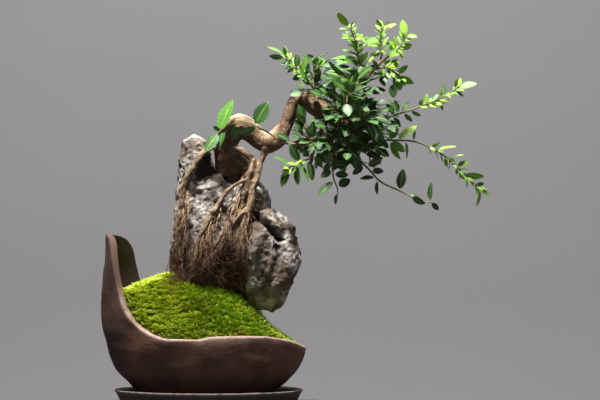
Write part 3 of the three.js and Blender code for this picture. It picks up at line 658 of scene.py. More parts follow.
def makeSaucerMesh():
    # The profile carried round an oval, with a point at the middle underneath and inside
    profile, height = np.array(saucer["profile"]), saucer["height"]
    outline = np.vstack([[saucer["middle"], 0], np.c_[saucer["halfLength"] - profile[:, 0], profile[:, 1]],
                         [saucer["middle"], saucer["floor"]]])
    steps = travelled(outline)
    at = np.unique(np.r_[steps, np.linspace(0, steps[-1], saucer["steps"])])
    reach, z = np.interp(at, steps, outline[:, 0]), np.interp(at, steps, outline[:, 1])
    a = np.linspace(0, 2 * np.pi, saucer["sides"], endpoint=False)
    points = np.stack(np.broadcast_arrays(
        reach[:, None] * np.cos(a), saucer["depthRatio"] * reach[:, None] * np.sin(a), z[:, None]), axis=-1)
    points = np.vstack([points.reshape(-1, 3), [[0, 0, 0], [0, 0, saucer["floor"]]]])
    quads = gridFaces(len(at), len(a), aroundColumns=True)
    mesh = putMesh("saucer_clay", points, quads, capFaces(len(at), len(a)))
    relief = saucer["relief"] * roughNoise(points, (14, 14, 5), 31, 2)
    pushOut(mesh, relief * smoothStep(0.4, 3, points[:, 2]))
    storeValues(mesh, "lip", saucer["wearAndHighlight"] * smoothStep(height - 3.4, height - 1.2, points[:, 2]))
    return mesh


saucerClay = clayMaterial("saucerClay", srgb(84, 72, 68), srgb(50, 41, 37), srgb(134, 120, 114), 0.6)
addPiece("saucer_clay", makeSaucerMesh(), saucerClay, "saucer_clay", "saucer")


# Rock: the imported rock's form under crusts, pits and cracks

rock = {
    "voxel": 1.05, "evened": 7,
    "folds": 3.2, "foldSize": (21, 21, 36), "crust": 0.65, "crustSize": 7.5, "chips": 0.4, "chipSize": 3.1,
    "grit": 0.3, "gritSize": 1.7, "pits": 0.8, "pitSize": 11,
    # A painted shadow under the trunk's foot: its middle and half sizes in x and z
    "shadowMiddle": (6, 211), "shadowHalf": (21, 12),  # the dark place under the trunk's foot, in x and z
    "outside": 200, "noFace": 12,  # where a look for the rock's face starts, and its depth if none is there
    # Cracks and ridges seen on the front: x, z at both ends, half width, depth (or height, if negative)
    "strokes": [
        [42, 170, 65, 149, 3.2, 5.5], [40, 178, 64, 157, 2.6, -2.2], [0, 226, 25, 206, 2.0, -2.0],
        [36, 168, 33, 128, 3.5, 3.5], [44, 130, 50, 96, 4, 3.0], [-8, 214, -14, 168, 3, 2.6],
        [66, 140, 58, 112, 3, 2.4], [20, 132, 18, 100, 4.5, 3.5],
    ],
}


def strokeDepth(points):
    # Each stroke is a groove with a bell-shaped section round a wandering line, on the front alone
    total = np.zeros(len(points))
    for x0, z0, x1, z1, width, depth in rock["strokes"]:
        start, along = np.array([x0, z0]), np.array([x1 - x0, z1 - z0])
        flat = points[:, [0, 2]] + 2.2 * np.stack([noise(points, 9, 41), noise(points, 9, 42)], axis=1) - start
        t = np.clip(flat @ along / (along @ along), 0, 1)
        far = np.linalg.norm(flat - t[:, None] * along, axis=1) / width
        total += depth * np.exp(-far * far) * smoothStep(4, -4, points[:, 1])
    return total


def makeRockMesh():
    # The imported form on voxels, with folds where noise crosses its middle, then crust, chips, grit and pits
    points, faces = nodeMesh("rock")
    mesh = voxelMesh("limestone_rock", putMesh("rockForm", points, faces), rock["voxel"], rock["evened"])
    p = meshPoints(mesh)
    folds = 1 - 2 * np.abs(noise(p + 5 * noise(p, 24, 50)[:, None], rock["foldSize"], 51)) ** 0.8
    pushOut(mesh, rock["folds"] * (folds - 0.5) - strokeDepth(p))
    p = meshPoints(mesh)
    crust = 1 - 2.2 * np.abs(roughNoise(p, rock["crustSize"], 61, 3))
    chips = 1 - 2 * np.abs(noise(p + 2 * noise(p, 6, 68)[:, None], rock["chipSize"], 69)) ** 0.7
    cells = cellDistance(p + 1.5 * noise(p, 5, 64)[:, None], rock["pitSize"], 65)
    pits = smoothStep(0.42, 0.12, cells) * smoothStep(-0.1, 0.35, noise(p, 21, 66))
    grit = roughNoise(p, rock["gritSize"], 67, 2)
    fine = rock["crust"] * (crust - 0.3) + rock["chips"] * chips + rock["grit"] * grit - rock["pits"] * pits
    pushOut(mesh, fine)
    # A painted shadow under the trunk's foot
    away = (p[:, [0, 2]] - rock["shadowMiddle"]) / rock["shadowHalf"]
    shade = np.exp(-away[:, 0] ** 2 - away[:, 1] ** 2) * smoothStep(22, 10, p[:, 1])
    # Painted shade: darker in low folds, crust and chips, in pits and grooves, and in that painted shadow
    sunk = (0.9 * (0.25 - folds) - 0.9 * (crust - 0.15) - 0.35 * chips + 1.1 * pits + 0.35 * strokeDepth(p)
            + 3.2 * shade)
    storeValues(mesh, "sunk", np.clip(0.62 * sunk, 0, 1))
    return mesh


def limestoneMaterial():
    # Pale crust on the high places, grey flanks, brown stains to the right, darker brown low down, and painted
    # shade: dark pits, grooves and hollows, and a painted shadow under the trunk's foot
    material, tree, shader = newMaterial("limestone", 0.82, 0.3)
    place = objectPlace(tree)
    parts = partsOf(tree, place)
    crust = patches(tree, place, 30.0, 9.0, 0.43, 0.55)
    veil = patches(tree, place, 150.0, 8.0, 0.48, 0.6)
    # Dark veins, where a stretched noise crosses its middle value
    level = cloud(tree, stretched(tree, place, (0.8, 1, 1.7)), 48.0, 7.0, 0.62, 0.5)
    off = mathNode(tree, "ABSOLUTE", mathNode(tree, "SUBTRACT", level, 0.5))
    vein = rampValue(tree, off, 0.035, 0.004, 0.0, 0.75)
    right = rampValue(tree, parts["X"], -0.03, 0.05, 0.25, 0.9)
    stain = mathNode(tree, "MULTIPLY", patches(tree, place, 34.0, 8.0, 0.46, 0.55), right)
    slope = mathNode(tree, "ADD", parts["Z"], mathNode(tree, "MULTIPLY", parts["X"], 0.7))
    low = rampValue(tree, slope, 0.16, 0.11)
    fleck = patches(tree, place, 480.0, 5.0, 0.5, 0.62)
    setColor(tree, shader, layered(
        tree, srgb(112, 103, 94), (crust, 1, srgb(196, 190, 182)), (veil, 0.45, srgb(98, 88, 80)),
        (vein, 1, srgb(66, 57, 49)), (stain, 1, srgb(82, 66, 52)), (low, 0.85, srgb(62, 42, 32)),
        # Painted shade in hollows, pits and grooves, and a painted shadow under the trunk's foot
        (pieceValue(tree, "sunk"), 1, srgb(44, 38, 33)), (fleck, 0.4, srgb(62, 54, 46))))
    pores = specks(tree, place, 420.0, 0.32)
    addBump(tree, shader, mathNode(tree, "SUBTRACT", cloud(tree, place, 700.0, 6.0), pores), 0.0006, 0.9)
    return material


rockMesh = makeRockMesh()
addPiece("limestone_rock", rockMesh, limestoneMaterial(), "limestone", "rock")
rockTree = treeOfMesh(rockMesh)


def rockDepth(x, z, side):
    # Where the rock's face lies at a place in the front view, or a middle depth where there is none
    spot = rockTree.ray_cast(Vector((x, side * rock["outside"], z)), Vector((0, -side, 0)))[0]
    return spot.y if spot else side * rock["noFace"]


# Moss and soil: a mound from the pot's wall up to the rock

moss = {
    "highest": 99.5, "belowRim": 0.6, "spread": 2.2,
    "ridge": [[-90, 99], [-54, 113], [-40, 118], [-15, 116], [5, 111], [25, 104], [45, 90], [58, 79], [68, 70],
              [84, 53]],
    "sides": 260, "topRings": 60, "underRings": 12, "thickness": 6, "cushions": 3.0, "lumps": 1.1, "nap": 0.35,
    "pitch": 1.85, "jitter": 1.6, "edge": 0.995, "clear": 0.3, "farFromRock": 40,
    "blades": 12, "length": (2.2, 5.6), "width": 0.8, "keel": 0.2, "sunk": 0.7, "rise": (2, 50), "bend": 0.6,
    "dry": (-30, -18), "dryHalf": (13, 16),  # a withered place, in x and y
}
mossRidge = smoothProfile(moss["ridge"])


def moundPoint(angle, share):
    # Shares of the way from the middle to the wall, rising to the ridge, under lumps and cushions
    edge = np.minimum(potRim(angle) - moss["belowRim"], moss["highest"])
    rim = potPoint(angle, edge, pot["wall"] + 0.1)
    x, y = rim[:, 0] * share, rim[:, 1] * share
    lumps = moss["lumps"] * np.sin(x / 6) * np.sin(y / 5 + x / 13)
    z = mix(mossRidge(x), edge, share ** moss["spread"])
    flat = np.stack([x, y, 0 * x], axis=1)
    cushions = moss["cushions"] * (0.4 + 1.2 * (0.5 - cellDistance(flat, 13, 71)) + 0.5 * noise(flat, 19, 72))
    return np.stack([x, y, z + (lumps + cushions) * smoothStep(1, 0.9, share)], axis=1)


def mossHeight(x, y):
    # The mound's height at places from above, and each place's share of the way out to the wall
    reach = np.where(x < 0, -potLeft(90), potRight(60))
    angle = np.degrees(np.arctan2(y / potHalfDepth(60), x / reach)) % 360
    rim = moundPoint(angle, np.ones(len(angle)))
    share = np.hypot(x, y) / np.hypot(rim[:, 0], rim[:, 1])
    return moundPoint(angle, np.minimum(share, 1))[:, 2], share


def makeMossBed():
    # The mat itself: rings of the mound's top, turned down at the edge and closed underneath
    sides = moss["sides"]
    angles = np.linspace(0, 360, sides, endpoint=False)
    tops = [moundPoint(angles, np.full(sides, share)) for share in np.linspace(0.03, 1, moss["topRings"])]
    under = [moundPoint(angles, np.full(sides, share)) - [0, 0, moss["thickness"]]
             for share in np.linspace(1, 0.03, moss["underRings"])]
    middles = [ring.mean(axis=0, keepdims=True) for ring in (tops[0], under[-1])]
    points = np.concatenate(tops + under + middles)
    rings = len(tops) + len(under)
    quads = gridFaces(rings, sides, aroundColumns=True)
    mesh = putMesh("moss_bed", points, quads[:, ::-1], capFaces(rings, sides)[:, ::-1])
    pushOut(mesh, moss["nap"] * roughNoise(points, 2.6, 75, 2))
    return mesh


def tuftPlaces():
    # One tuft in each square of a grid, moved at random, where the mound is free of the rock
    grid = np.arange(-100, 100, moss["pitch"])
    x, y = (v.ravel() for v in np.meshgrid(grid, grid))
    k = np.arange(len(x))
    x = x + moss["jitter"] * moss["pitch"] * (draw(k, 1) - 0.5)
    y = y + moss["jitter"] * moss["pitch"] * (draw(k, 2) - 0.5)
    z, share = mossHeight(x, y)
    places = np.stack([x, y, z], axis=1)[share < moss["edge"]]
    free = []
    for p in places:
        spot, normal, _, far = rockTree.find_nearest(Vector(p))
        free.append(far > moss["farFromRock"] or (Vector(p) - spot).dot(normal) > moss["clear"])
    return places[np.array(free)]


def makeTuftMesh(name, places, seed):
    # Each tuft is a star of narrow blades, bent up and out from one root, widest half way and keeled below
    n, b = len(places), moss["blades"]
    blade, tuft = np.arange(b)[None, :], np.arange(n)[:, None]
    k = tuft * b + blade + seed
    turn = 2 * np.pi * (blade * 0.382 + draw(k, 3) * 0.15 + draw(tuft, 4))
    rise = np.radians(mix(*moss["rise"], np.sqrt(blade / b) * 0.8 + 0.2 * draw(k, 5)))
    length = (mix(*moss["length"], draw(k, 6)) * mix(0.75, 1.15, draw(tuft, 7)))[..., None]
    out = np.stack([np.cos(turn), np.sin(turn), 0 * turn], axis=-1)
    side = np.stack([-np.sin(turn), np.cos(turn), 0 * turn], axis=-1)
    up = np.array([0, 0, 1.0])

    def leaning(angle):
        return out * np.cos(angle)[..., None] + up * np.sin(angle)[..., None]

    root = places[:, None, :] - up * moss["sunk"]
    middle = root + leaning(rise) * length * 0.6
    tip = middle + leaning(rise * moss["bend"]) * length * 0.5
    half = side * (moss["width"] / 2)
    points = np.stack([root + 0 * half, middle + half, middle - half, middle - up * moss["keel"], tip], axis=2)
    faces = np.array([[0, 2, 1], [2, 4, 1], [0, 1, 3], [2, 0, 3], [4, 2, 3], [1, 4, 3]])
    faces = np.arange(n * b)[:, None, None] * 5 + faces
    mesh = putMesh(name, points.reshape(-1, 3), faces.reshape(-1, 3))
    # Painted light and shade: brighter to the left and darker to the right; also brighter in patches, and
    # from tuft to tuft and blade to blade
    lit = np.clip(0.55 + 0.75 * roughNoise(places, 15, 81, 3) + 0.6 * smoothStep(0, -45, places[:, 0])
                  - 0.5 * smoothStep(-5, 50, places[:, 0]), 0, 1)
    lit = lit + 1.1 * (draw(np.arange(n), 8) - 0.5)
    toneAndLight = np.clip(np.repeat(lit, b * 5) + 0.35 * (np.repeat(draw(k, 9).ravel(), 5) - 0.3), 0, 1)
    away = np.sum(((places[:, :2] - moss["dry"]) / moss["dryHalf"]) ** 2, axis=1)
    dry = np.clip(np.exp(-away) + 0.9 * smoothStep(0.25, 0.5, roughNoise(places, 22, 83, 3)), 0, 1)
    storeValues(mesh, "toneAndLight", toneAndLight)
    storeValues(mesh, "dry", np.repeat(dry, b * 5))
    storeValues(mesh, "toTip", np.tile([0, 0.6, 0.6, 0.45, 1.0], n * b))
    return mesh


def tuftMaterial():
    # Dark green at each blade's root, partly painted shade, then green to yellow-green from tuft to tuft
    # and by painted light, and withered in places
    material, tree, shader = newMaterial("mossTufts", 0.6, 0.25)
    dark = srgb(52, 80, 8)
    # Darker at each blade's root: partly the moss's own colour, partly painted shade deep in the tuft
    foot = rampValue(tree, pieceValue(tree, "toTip"), 0.0, 1.0, 0.65, 0.0)
    patch = patches(tree, objectPlace(tree), 200.0, 4.0, 0.45, 0.6)
    setColor(tree, shader, layered(
        tree, srgb(140, 180, 34), (pieceValue(tree, "toneAndLight"), 1, srgb(228, 240, 98)), (foot, 1, dark),
        (patch, 0.2, dark), (pieceValue(tree, "dry"), 0.3, srgb(134, 104, 40))))
    return material


def soilMaterial():
    # Dark earth in grains
    colors = srgb(44, 32, 24), srgb(84, 62, 46)
    material, tree, shader, place, _ = patchedMaterial("soil", 0.95, 0.1, (220.0, 5.0, 0.4, 0.65), colors)
    grains = addNode(tree, "TexVoronoi", {"Vector": place, "Scale": 350.0}).outputs["Distance"]
    addBump(tree, shader, grains, 0.0015, 1.0)
    return material


def bedMaterial():
    # Dull green under the tufts
    colors = srgb(70, 80, 16), srgb(120, 142, 32)
    material, tree, shader, _, mask = patchedMaterial("mossBed", 0.9, 0.1, (260.0, 5.0, 0.4, 0.62), colors)
    addBump(tree, shader, mask, 0.001, 1.0)
    return material


addPiece("moss_bed", makeMossBed(), bedMaterial(), "moss", "moss")
tufts = tuftPlaces()
mossGreen = tuftMaterial()
for tuftName, tuftChoice in (("moss_tufts_front", tufts[:, 1] < 0), ("moss_tufts_back", tufts[:, 1] >= 0)):
    addPiece(tuftName, makeTuftMesh(tuftName, tufts[tuftChoice], 7), mossGreen, "moss", smooth=False)
soilNode = frame["nodes"]["soil"]
soilNode.data.materials.clear()
soilNode.data.materials.append(soilMaterial())


# Trunk, branches and roots, grown together over the rock

# Rows of x, y, z, radius
trunk = [
    [13.5, 4, 205, 7.5], [13.5, 3, 215, 8.5], [13.8, 2, 224, 9.2], [15.3, 1, 233, 10], [19.8, 0, 244.8, 11],
    [27.9, 0, 250.7, 12], [36, 0, 246.6, 10.2], [42.3, 0, 240.3, 9], [49.5, -1, 235.8, 9], [55.8, -1, 235.8, 8.8],
    [62.1, -1, 240.3, 8], [67, 0, 247.5, 6.9], [72, 1, 258.3, 6.8], [76, 1, 266.9, 7.5], [81, 1, 272.7, 9],
    [87.3, 0, 275, 10.2], [93.6, -1, 270.9, 10], [99, -1, 265.5, 9], [106.2, -2, 261, 7.6],
    [116, -2, 254.7, 6], [127, -3, 246.6, 3.8]]
branches = [
    [[106, -2, 261, 4.5], [112, -1, 265, 3.6], [122, 0, 270, 2.8], [132, 1, 278, 2.3], [139, 2, 286, 1.9],
     [145, 3, 298, 1.8], [152, 4, 305, 1.6], [157, 5, 311, 1.2]],
    [[118, -2, 253, 3.6], [130, -4, 250, 2.6], [138, -5, 249, 2.1], [150, -6, 254, 1.5], [162, -7, 258.5, 1.1]],
    [[124, -3, 249, 3.2], [134, 0, 243, 2.4], [146, 3, 239.5, 1.8], [159, 6, 238, 1.2]],
    [[124, -3, 248, 3], [130, -6, 234, 2], [134, -9, 222, 1.5], [139, -10, 215, 1.1]],
    [[114, -2, 256, 3.2], [111, -9, 246, 2.2], [110, -15, 232, 1.5], [110, -18, 219, 1.1]],
    [[107, -2, 260, 3.2], [102, -6, 248, 2.2], [98, -9, 238, 1.7], [95, -14, 229, 1.1]],
    [[116, -2, 255, 3.2], [121, -12, 257, 2.2], [125, -20, 258, 1.5]],
    [[116, -2, 255, 3.2], [121, 10, 259, 2.4], [126, 20, 261, 1.6]]]
flares = [[[16, 6, 228, 9], [25, 8, 220, 8.5], [34, 7, 209, 7], [39, 4, 198, 5], [40, 0, 188, 3.5]],
          [[24, 9, 216, 7.5], [20, 10, 204, 7.5], [15, 10, 192, 6]]]
# Rows of x, z, radius, and y where the root hangs free of the rock
frontRoots = [
    [[12, 233, 3.4, -2], [0, 230, 3, -9], [-8, 222, 2.9], [-14, 212, 2.8], [-19, 205, 2.8], [-22, 196, 3.2],
     [-23.5, 184, 3.3], [-25, 170, 2.8], [-26.5, 155, 2], [-26, 142, 1.5], [-23, 126, 1.3], [-22, 98, 1.2]],
    [[20, 231, 4.2, -3], [32, 227, 3.6, -9], [39.5, 219, 3.4, -12], [38, 209, 3.2, -14], [34.5, 197, 3],
     [31, 184, 2.4]],
    [[50, 238, 4.2, -3], [50.4, 228, 3.5, -7], [47, 218, 3.2, -10], [43.3, 204, 3.2, -14], [40.5, 193, 3.4],
     [38.5, 182, 3.8], [35, 171, 3.9], [30, 160, 3.6], [25, 149, 3.1], [20, 138, 2.7], [15.5, 128, 2.3],
     [12, 116, 1.9], [10, 104, 1.6], [9, 92, 1.4]],
    [[40, 205, 1.6, -14], [25, 198, 1.8, -18], [14.5, 188, 2.7], [7, 176, 3.1], [-1, 164, 2.9], [-8, 148, 2.4],
     [-12, 128, 1.9], [-17, 110, 1.5], [-21, 98, 1.3]],
    [[36, 177, 2.8], [28, 170, 3.1], [17, 158, 2.9], [5.5, 143, 2.5], [-3.5, 128, 2], [-6, 112, 1.6],
     [-5, 98, 1.3]]]
backRoots = [
    [[12, 216, 5, 6], [6, 205, 4], [-2, 188, 3.6], [-8, 165, 3], [-6, 138, 2.4], [-2, 112, 1.8], [0, 98, 1.5]],
    [[18, 214, 5, 8], [28, 200, 3.8], [34, 180, 3.4], [30, 155, 2.8], [34, 128, 2.2], [30, 104, 1.6],
     [28, 90, 1.4]]]
wood = {
    "voxel": 0.85, "evened": 2, "sides": 20, "sunk": 3.5, "clear": 0.4, "nearMoss": 118, "rounds": 4,
    "apart": 300, "parts": 60,  # the step in the grain from limb to limb, and the parts it is worked out in
    "knots": 1.0, "lumps": 0.7, "furrows": 0.5, "fibres": 0.35, "lenticels": 0.2, "bark": 0.2,
}
# Fine roots in fans: the front root they leave, where along it, and where along x they enter the moss
rootFans = [
    {"parent": 2, "leave": (0.25, 0.85), "reach": (-12, 31), "count": 180},
    {"parent": 4, "leave": (0.05, 0.8), "reach": (-18, 14), "count": 140},
    {"parent": 3, "leave": (0.25, 0.85), "reach": (-26, 0), "count": 110},
    {"parent": 0, "leave": (0.35, 0.95), "reach": (-40, -18), "count": 70},
    {"parent": 1, "leave": (0.4, 0.95), "reach": (-4, 27), "count": 56},
]
rootStrand = {
    "count": 5, "spread": 9, "radius": (0.26, 0.12), "steps": 17, "sides": 4, "least": 0.3, "lift": (8, 2),
    "sway": [(1.8, 4), (0.8, 9), (0.6, 13), (0.35, 29)],  # how far and how often, the first two as a strand
}
rootHairs = {"count": 640, "length": (5, 15), "radius": (0.22, 0.08), "sag": 0.35, "steps": 6, "sides": 3}


def straightened(y, free, side):
    # Depths pulled out until they run straight over hollows, but for those that are free of the rock
    for _ in range(wood["rounds"]):
        straight = side * np.maximum(side * y[1:-1], side * (y[:-2] + y[2:]) / 2)
        y[1:-1] = np.where(free[1:-1], y[1:-1], straight)
    return y


def rootLine(rows, side, lift):
    # The rows as points: on the rock where no y is given, straight over its hollows, ending in the moss
    x, z, radius = (np.array([row[k] for row in rows], float) for k in (0, 1, 2))
    free = np.array([len(row) > 3 for row in rows])
    y = np.array([row[3] if len(row) > 3 else rockDepth(row[0], row[1], side) + side * (row[2] + lift)
                  for row in rows])
    y = straightened(y, free, side)
    if z[-1] < wood["nearMoss"]:
        z[-1] = mossHeight(x[-1:], y[-1:])[0][0] - wood["sunk"]
    return np.stack([x, y, z], axis=1), radius


def limbLines():
    # Each limb as closely spaced points with their radii and the kind of wood: 0 trunk, 1 root
    lines = [(np.array(rows)[:, :3], np.array(rows)[:, 3], 0) for rows in [trunk] + branches + flares]
    for roots, side in ((frontRoots, -1), (backRoots, 1)):
        lines += [rootLine(rows, side, wood["clear"]) + (1,) for rows in roots]
    made = []
    for points, radii, kind in lines:
        t = np.linspace(0, 1, 7 * len(points))
        made.append((curvePoints(points, t), np.interp(t * (len(radii) - 1), np.arange(len(radii)), radii), kind))
    return made


def grainOf(points, limbs):
    # For each point of the wood, its place across and along the limb whose skin is nearest, and that
    # limb's kind and radius
    spine = np.vstack([line for line, _, _ in limbs])
    radii = np.concatenate([r for _, r, _ in limbs])
    frames = [pathFrames(line) for line, _, _ in limbs]
    ahead, across, up = (np.vstack([f[k] for f in frames]) for k in range(3))
    travel = np.concatenate([travelled(line) + wood["apart"] * i for i, (line, _, _) in enumerate(limbs)])
    kind = np.concatenate([np.full(len(line), k, float) for line, _, k in limbs])
    nearest = np.zeros(len(points), int)
    for part in np.array_split(np.arange(len(points)), wood["parts"]):
        far = np.linalg.norm(points[part, None] - spine[None], axis=2) - radii[None]
        nearest[part] = np.argmin(far, axis=1)
    away = points - spine[nearest]
    along = travel[nearest] + np.sum(away * ahead[nearest], axis=1)
    place = np.stack([np.sum(away * across[nearest], axis=1), np.sum(away * up[nearest], axis=1), along], axis=1)
    return place, kind[nearest], radii[nearest]


def makeWoodMesh(limbs):
    # Tubes along the limbs as one skin, with knots, furrows and fibres drawn out along the grain
    tubes = gather([tube(line, radii, wood["sides"]) for line, radii, _ in limbs])
    mesh = voxelMesh("elm_wood", putMesh("woodForm", *tubes), wood["voxel"], wood["evened"])
    points = meshPoints(mesh)
    place, kind, radius = grainOf(points, limbs)
    thick = smoothStep(1.5, 6, radius)
    knots = wood["knots"] * thick * roughNoise(points, 11, 91, 2)
    lumps = wood["lumps"] * kind * roughNoise(points, 5, 99, 2)
    furrow = np.abs(roughNoise(place / [1, 1, 6.5], 2.1, 92, 2)) * mix(0.75, 1.7, kind)
    fibre = np.abs(noise(place / [1, 1, 9], 0.9, 94)) * kind
    lenticel = smoothStep(0.3, 0.12, cellDistance(place * [1, 1, 1.9], 3.4, 96)) * (1 - kind)
    bark = wood["bark"] * roughNoise(place / [1, 1, 1.8], 1.7, 98, 2) * thick
    pushOut(mesh, knots + lumps - wood["furrows"] * furrow * mix(0.6, 1, thick) - wood["fibres"] * fibre
            + wood["lenticels"] * lenticel + bark)
    storeValues(mesh, "grain", place)
    storeValues(mesh, "root", kind)
    storeValues(mesh, "lenticel", lenticel)
    storeValues(mesh, "groove", np.clip(1.5 * furrow + 0.6 * fibre, 0, 1))
    # How far each point faces up: the material paints a highlight on top and shade underneath
    storeValues(mesh, "above", meshNormals(mesh)[:, 2] * (1 - 0.5 * kind))
    return mesh


def fineRootLines():
    # Each leaves its parent somewhere on the way down and wanders over rock and roots into the moss,
    # a few of them side by side as a strand
    lines, radii, seed = [], [], 0
    t = np.linspace(0, 1, rootStrand["steps"])
    ends = np.sin(np.pi * t)
    free = np.zeros(len(t), bool)
    for fanRow in rootFans:
        parent = np.array([row[:2] for row in frontRoots[fanRow["parent"]]], float)
        for _ in range(fanRow["count"]):
            seed += 1
            strand = seed // rootStrand["count"]
            leave = mix(*fanRow["leave"], draw(strand, 1)) * (len(parent) - 1) + 0.3 * draw(seed, 1)
            k = min(int(leave), len(parent) - 2)
            x0, z0 = mix(parent[k], parent[k + 1], leave - k)
            x1 = mix(mix(*fanRow["reach"], draw(strand, 2)), x0, 0.25 * draw(strand, 8))
            x1 += rootStrand["spread"] * (draw(seed, 2) - 0.5)
            z1 = 101 + 8 * draw(seed, 3) - 0.35 * max(0, x1)
            phase = 2 * np.pi * np.r_[draw(strand, np.arange(2)), draw(seed, np.arange(10, 12))]
            waves = [far * np.sin(turns * t + p) for (far, turns), p in zip(rootStrand["sway"], phase)]
            sway = sum(waves) * ends ** 0.5
            x, z = mix(x0, x1, t ** mix(0.55, 1.2, draw(strand, 6))) + sway, mix(z0, z1, t)
            together, alone = rootStrand["lift"]
            lift = rootStrand["least"] + (together * draw(strand, 7) ** 1.5 + alone * draw(seed, 7)) * ends
            y = straightened(np.array([rockDepth(px, pz, -1) for px, pz in zip(x, z)]) - lift, free, -1)
            lines.append(np.stack([x, y, z], axis=1))
            thick = mix(0.6, 1.2, draw(seed, 9)) * mix(0.8, 1.5, draw(strand, 9))
            radii.append(mix(*rootStrand["radius"], t) * thick)
    return lines, radii


def rootHairLines(parents):
    # Short hairs that stray from the fine roots, out to the side and sagging
    lines, t = [], np.linspace(0, 1, rootHairs["steps"])
    for i in range(rootHairs["count"]):
        parent = parents[int(draw(i, 31) * len(parents))]
        start = parent[int(mix(1, 12, draw(i, 32)))]
        turn = 2 * np.pi * draw(i, 33)
        way = unit(np.array([np.cos(turn), -0.25 - 0.5 * draw(i, 34), np.sin(turn) - rootHairs["sag"]]))
        length = mix(*rootHairs["length"], draw(i, 35))
        bend = np.array([draw(i, 36) - 0.5, 0, -0.5 * draw(i, 37)]) * length
        lines.append(start + way * length * t[:, None] + bend * (t ** 2)[:, None])
    return lines, [mix(*rootHairs["radius"], t)] * len(lines)


def woodMaterial():
    # Grey-brown bark with pale lenticels; roots paler and streaked lengthwise, dark in their grooves
    material, tree, shader = newMaterial("elmWood", 0.75, 0.3)
    place = objectPlace(tree)
    grain = stretched(tree, pieceValue(tree, "grain", "Vector"), (1, 1, 0.13))
    above = pieceValue(tree, "above")
    streak = patches(tree, grain, 0.9, 5.0, 0.35, 0.65)
    blotch = patches(tree, place, 90.0, 5.0, 0.4, 0.65)
    fleck = patches(tree, place, 650.0, 4.0, 0.5, 0.6)
    bark = layered(tree, srgb(160, 130, 98), (blotch, 1, srgb(106, 76, 52)), (streak, 0.35, srgb(92, 70, 50)),
                   (pieceValue(tree, "lenticel"), 0.8, srgb(222, 210, 190)), (fleck, 0.5, srgb(82, 60, 42)))
    rootColor = layered(tree, srgb(202, 178, 148), (streak, 1, srgb(120, 94, 70)), (blotch, 0.3, srgb(100, 78, 60)))
    # Painted highlight, paler where it faces up, and painted shade, darker underneath; darker near the moss too
    skyHighlight = rampValue(tree, above, 0.4, 1.0, 0.0, 0.36)
    underShade = rampValue(tree, above, 0.2, -0.6, 0.0, 0.72)
    low = rampValue(tree, partsOf(tree, place)["Z"], 0.165, 0.115)
    setColor(tree, shader, layered(
        tree, bark, (pieceValue(tree, "root"), 1, rootColor), (pieceValue(tree, "groove"), 0.55, srgb(62, 42, 28)),
        (skyHighlight, 1, srgb(224, 210, 188)), (underShade, 1, srgb(72, 46, 30)), (low, 0.8, srgb(66, 38, 26))))
    addBump(tree, shader, cloud(tree, grain, 1500.0, 5.0), 0.0006, 0.8)
    return material


def fineRootMaterial():
    # Pale and dark strands side by side, dark and reddish where they reach the moss
    material, tree, shader = newMaterial("fineRoots", 0.8, 0.2)
    place = objectPlace(tree)
    strands = patches(tree, stretched(tree, place, (1, 1, 0.1)), 700.0, 2.0, 0.44, 0.56)
    low = rampValue(tree, partsOf(tree, place)["Z"], 0.172, 0.122)
    setColor(tree, shader, layered(
        tree, srgb(184, 156, 124), (strands, 1, srgb(54, 34, 24)), (low, 0.92, srgb(56, 29, 20))))
    return material


limbs = limbLines()
addPiece("elm_wood", makeWoodMesh(limbs), woodMaterial(), "bark", "trunk_and_roots")
fineLines, fineRadii = fineRootLines()
hairLines, hairRadii = rootHairLines(fineLines)
fineTubes = gather([tube(line, radii, rootStrand["sides"]) for line, radii in zip(fineLines, fineRadii)]
                   + [tube(line, radii, rootHairs["sides"]) for line, radii in zip(hairLines, hairRadii)])
addPiece("fine_roots", putMesh("fine_roots", *fineTubes), fineRootMaterial(), "bark")


# Leafy sprays: twig points, and leaves as distance along the twig, direction in the front view,
# length, and width as seen from the front; age runs from 0, mature, to 1, just opened

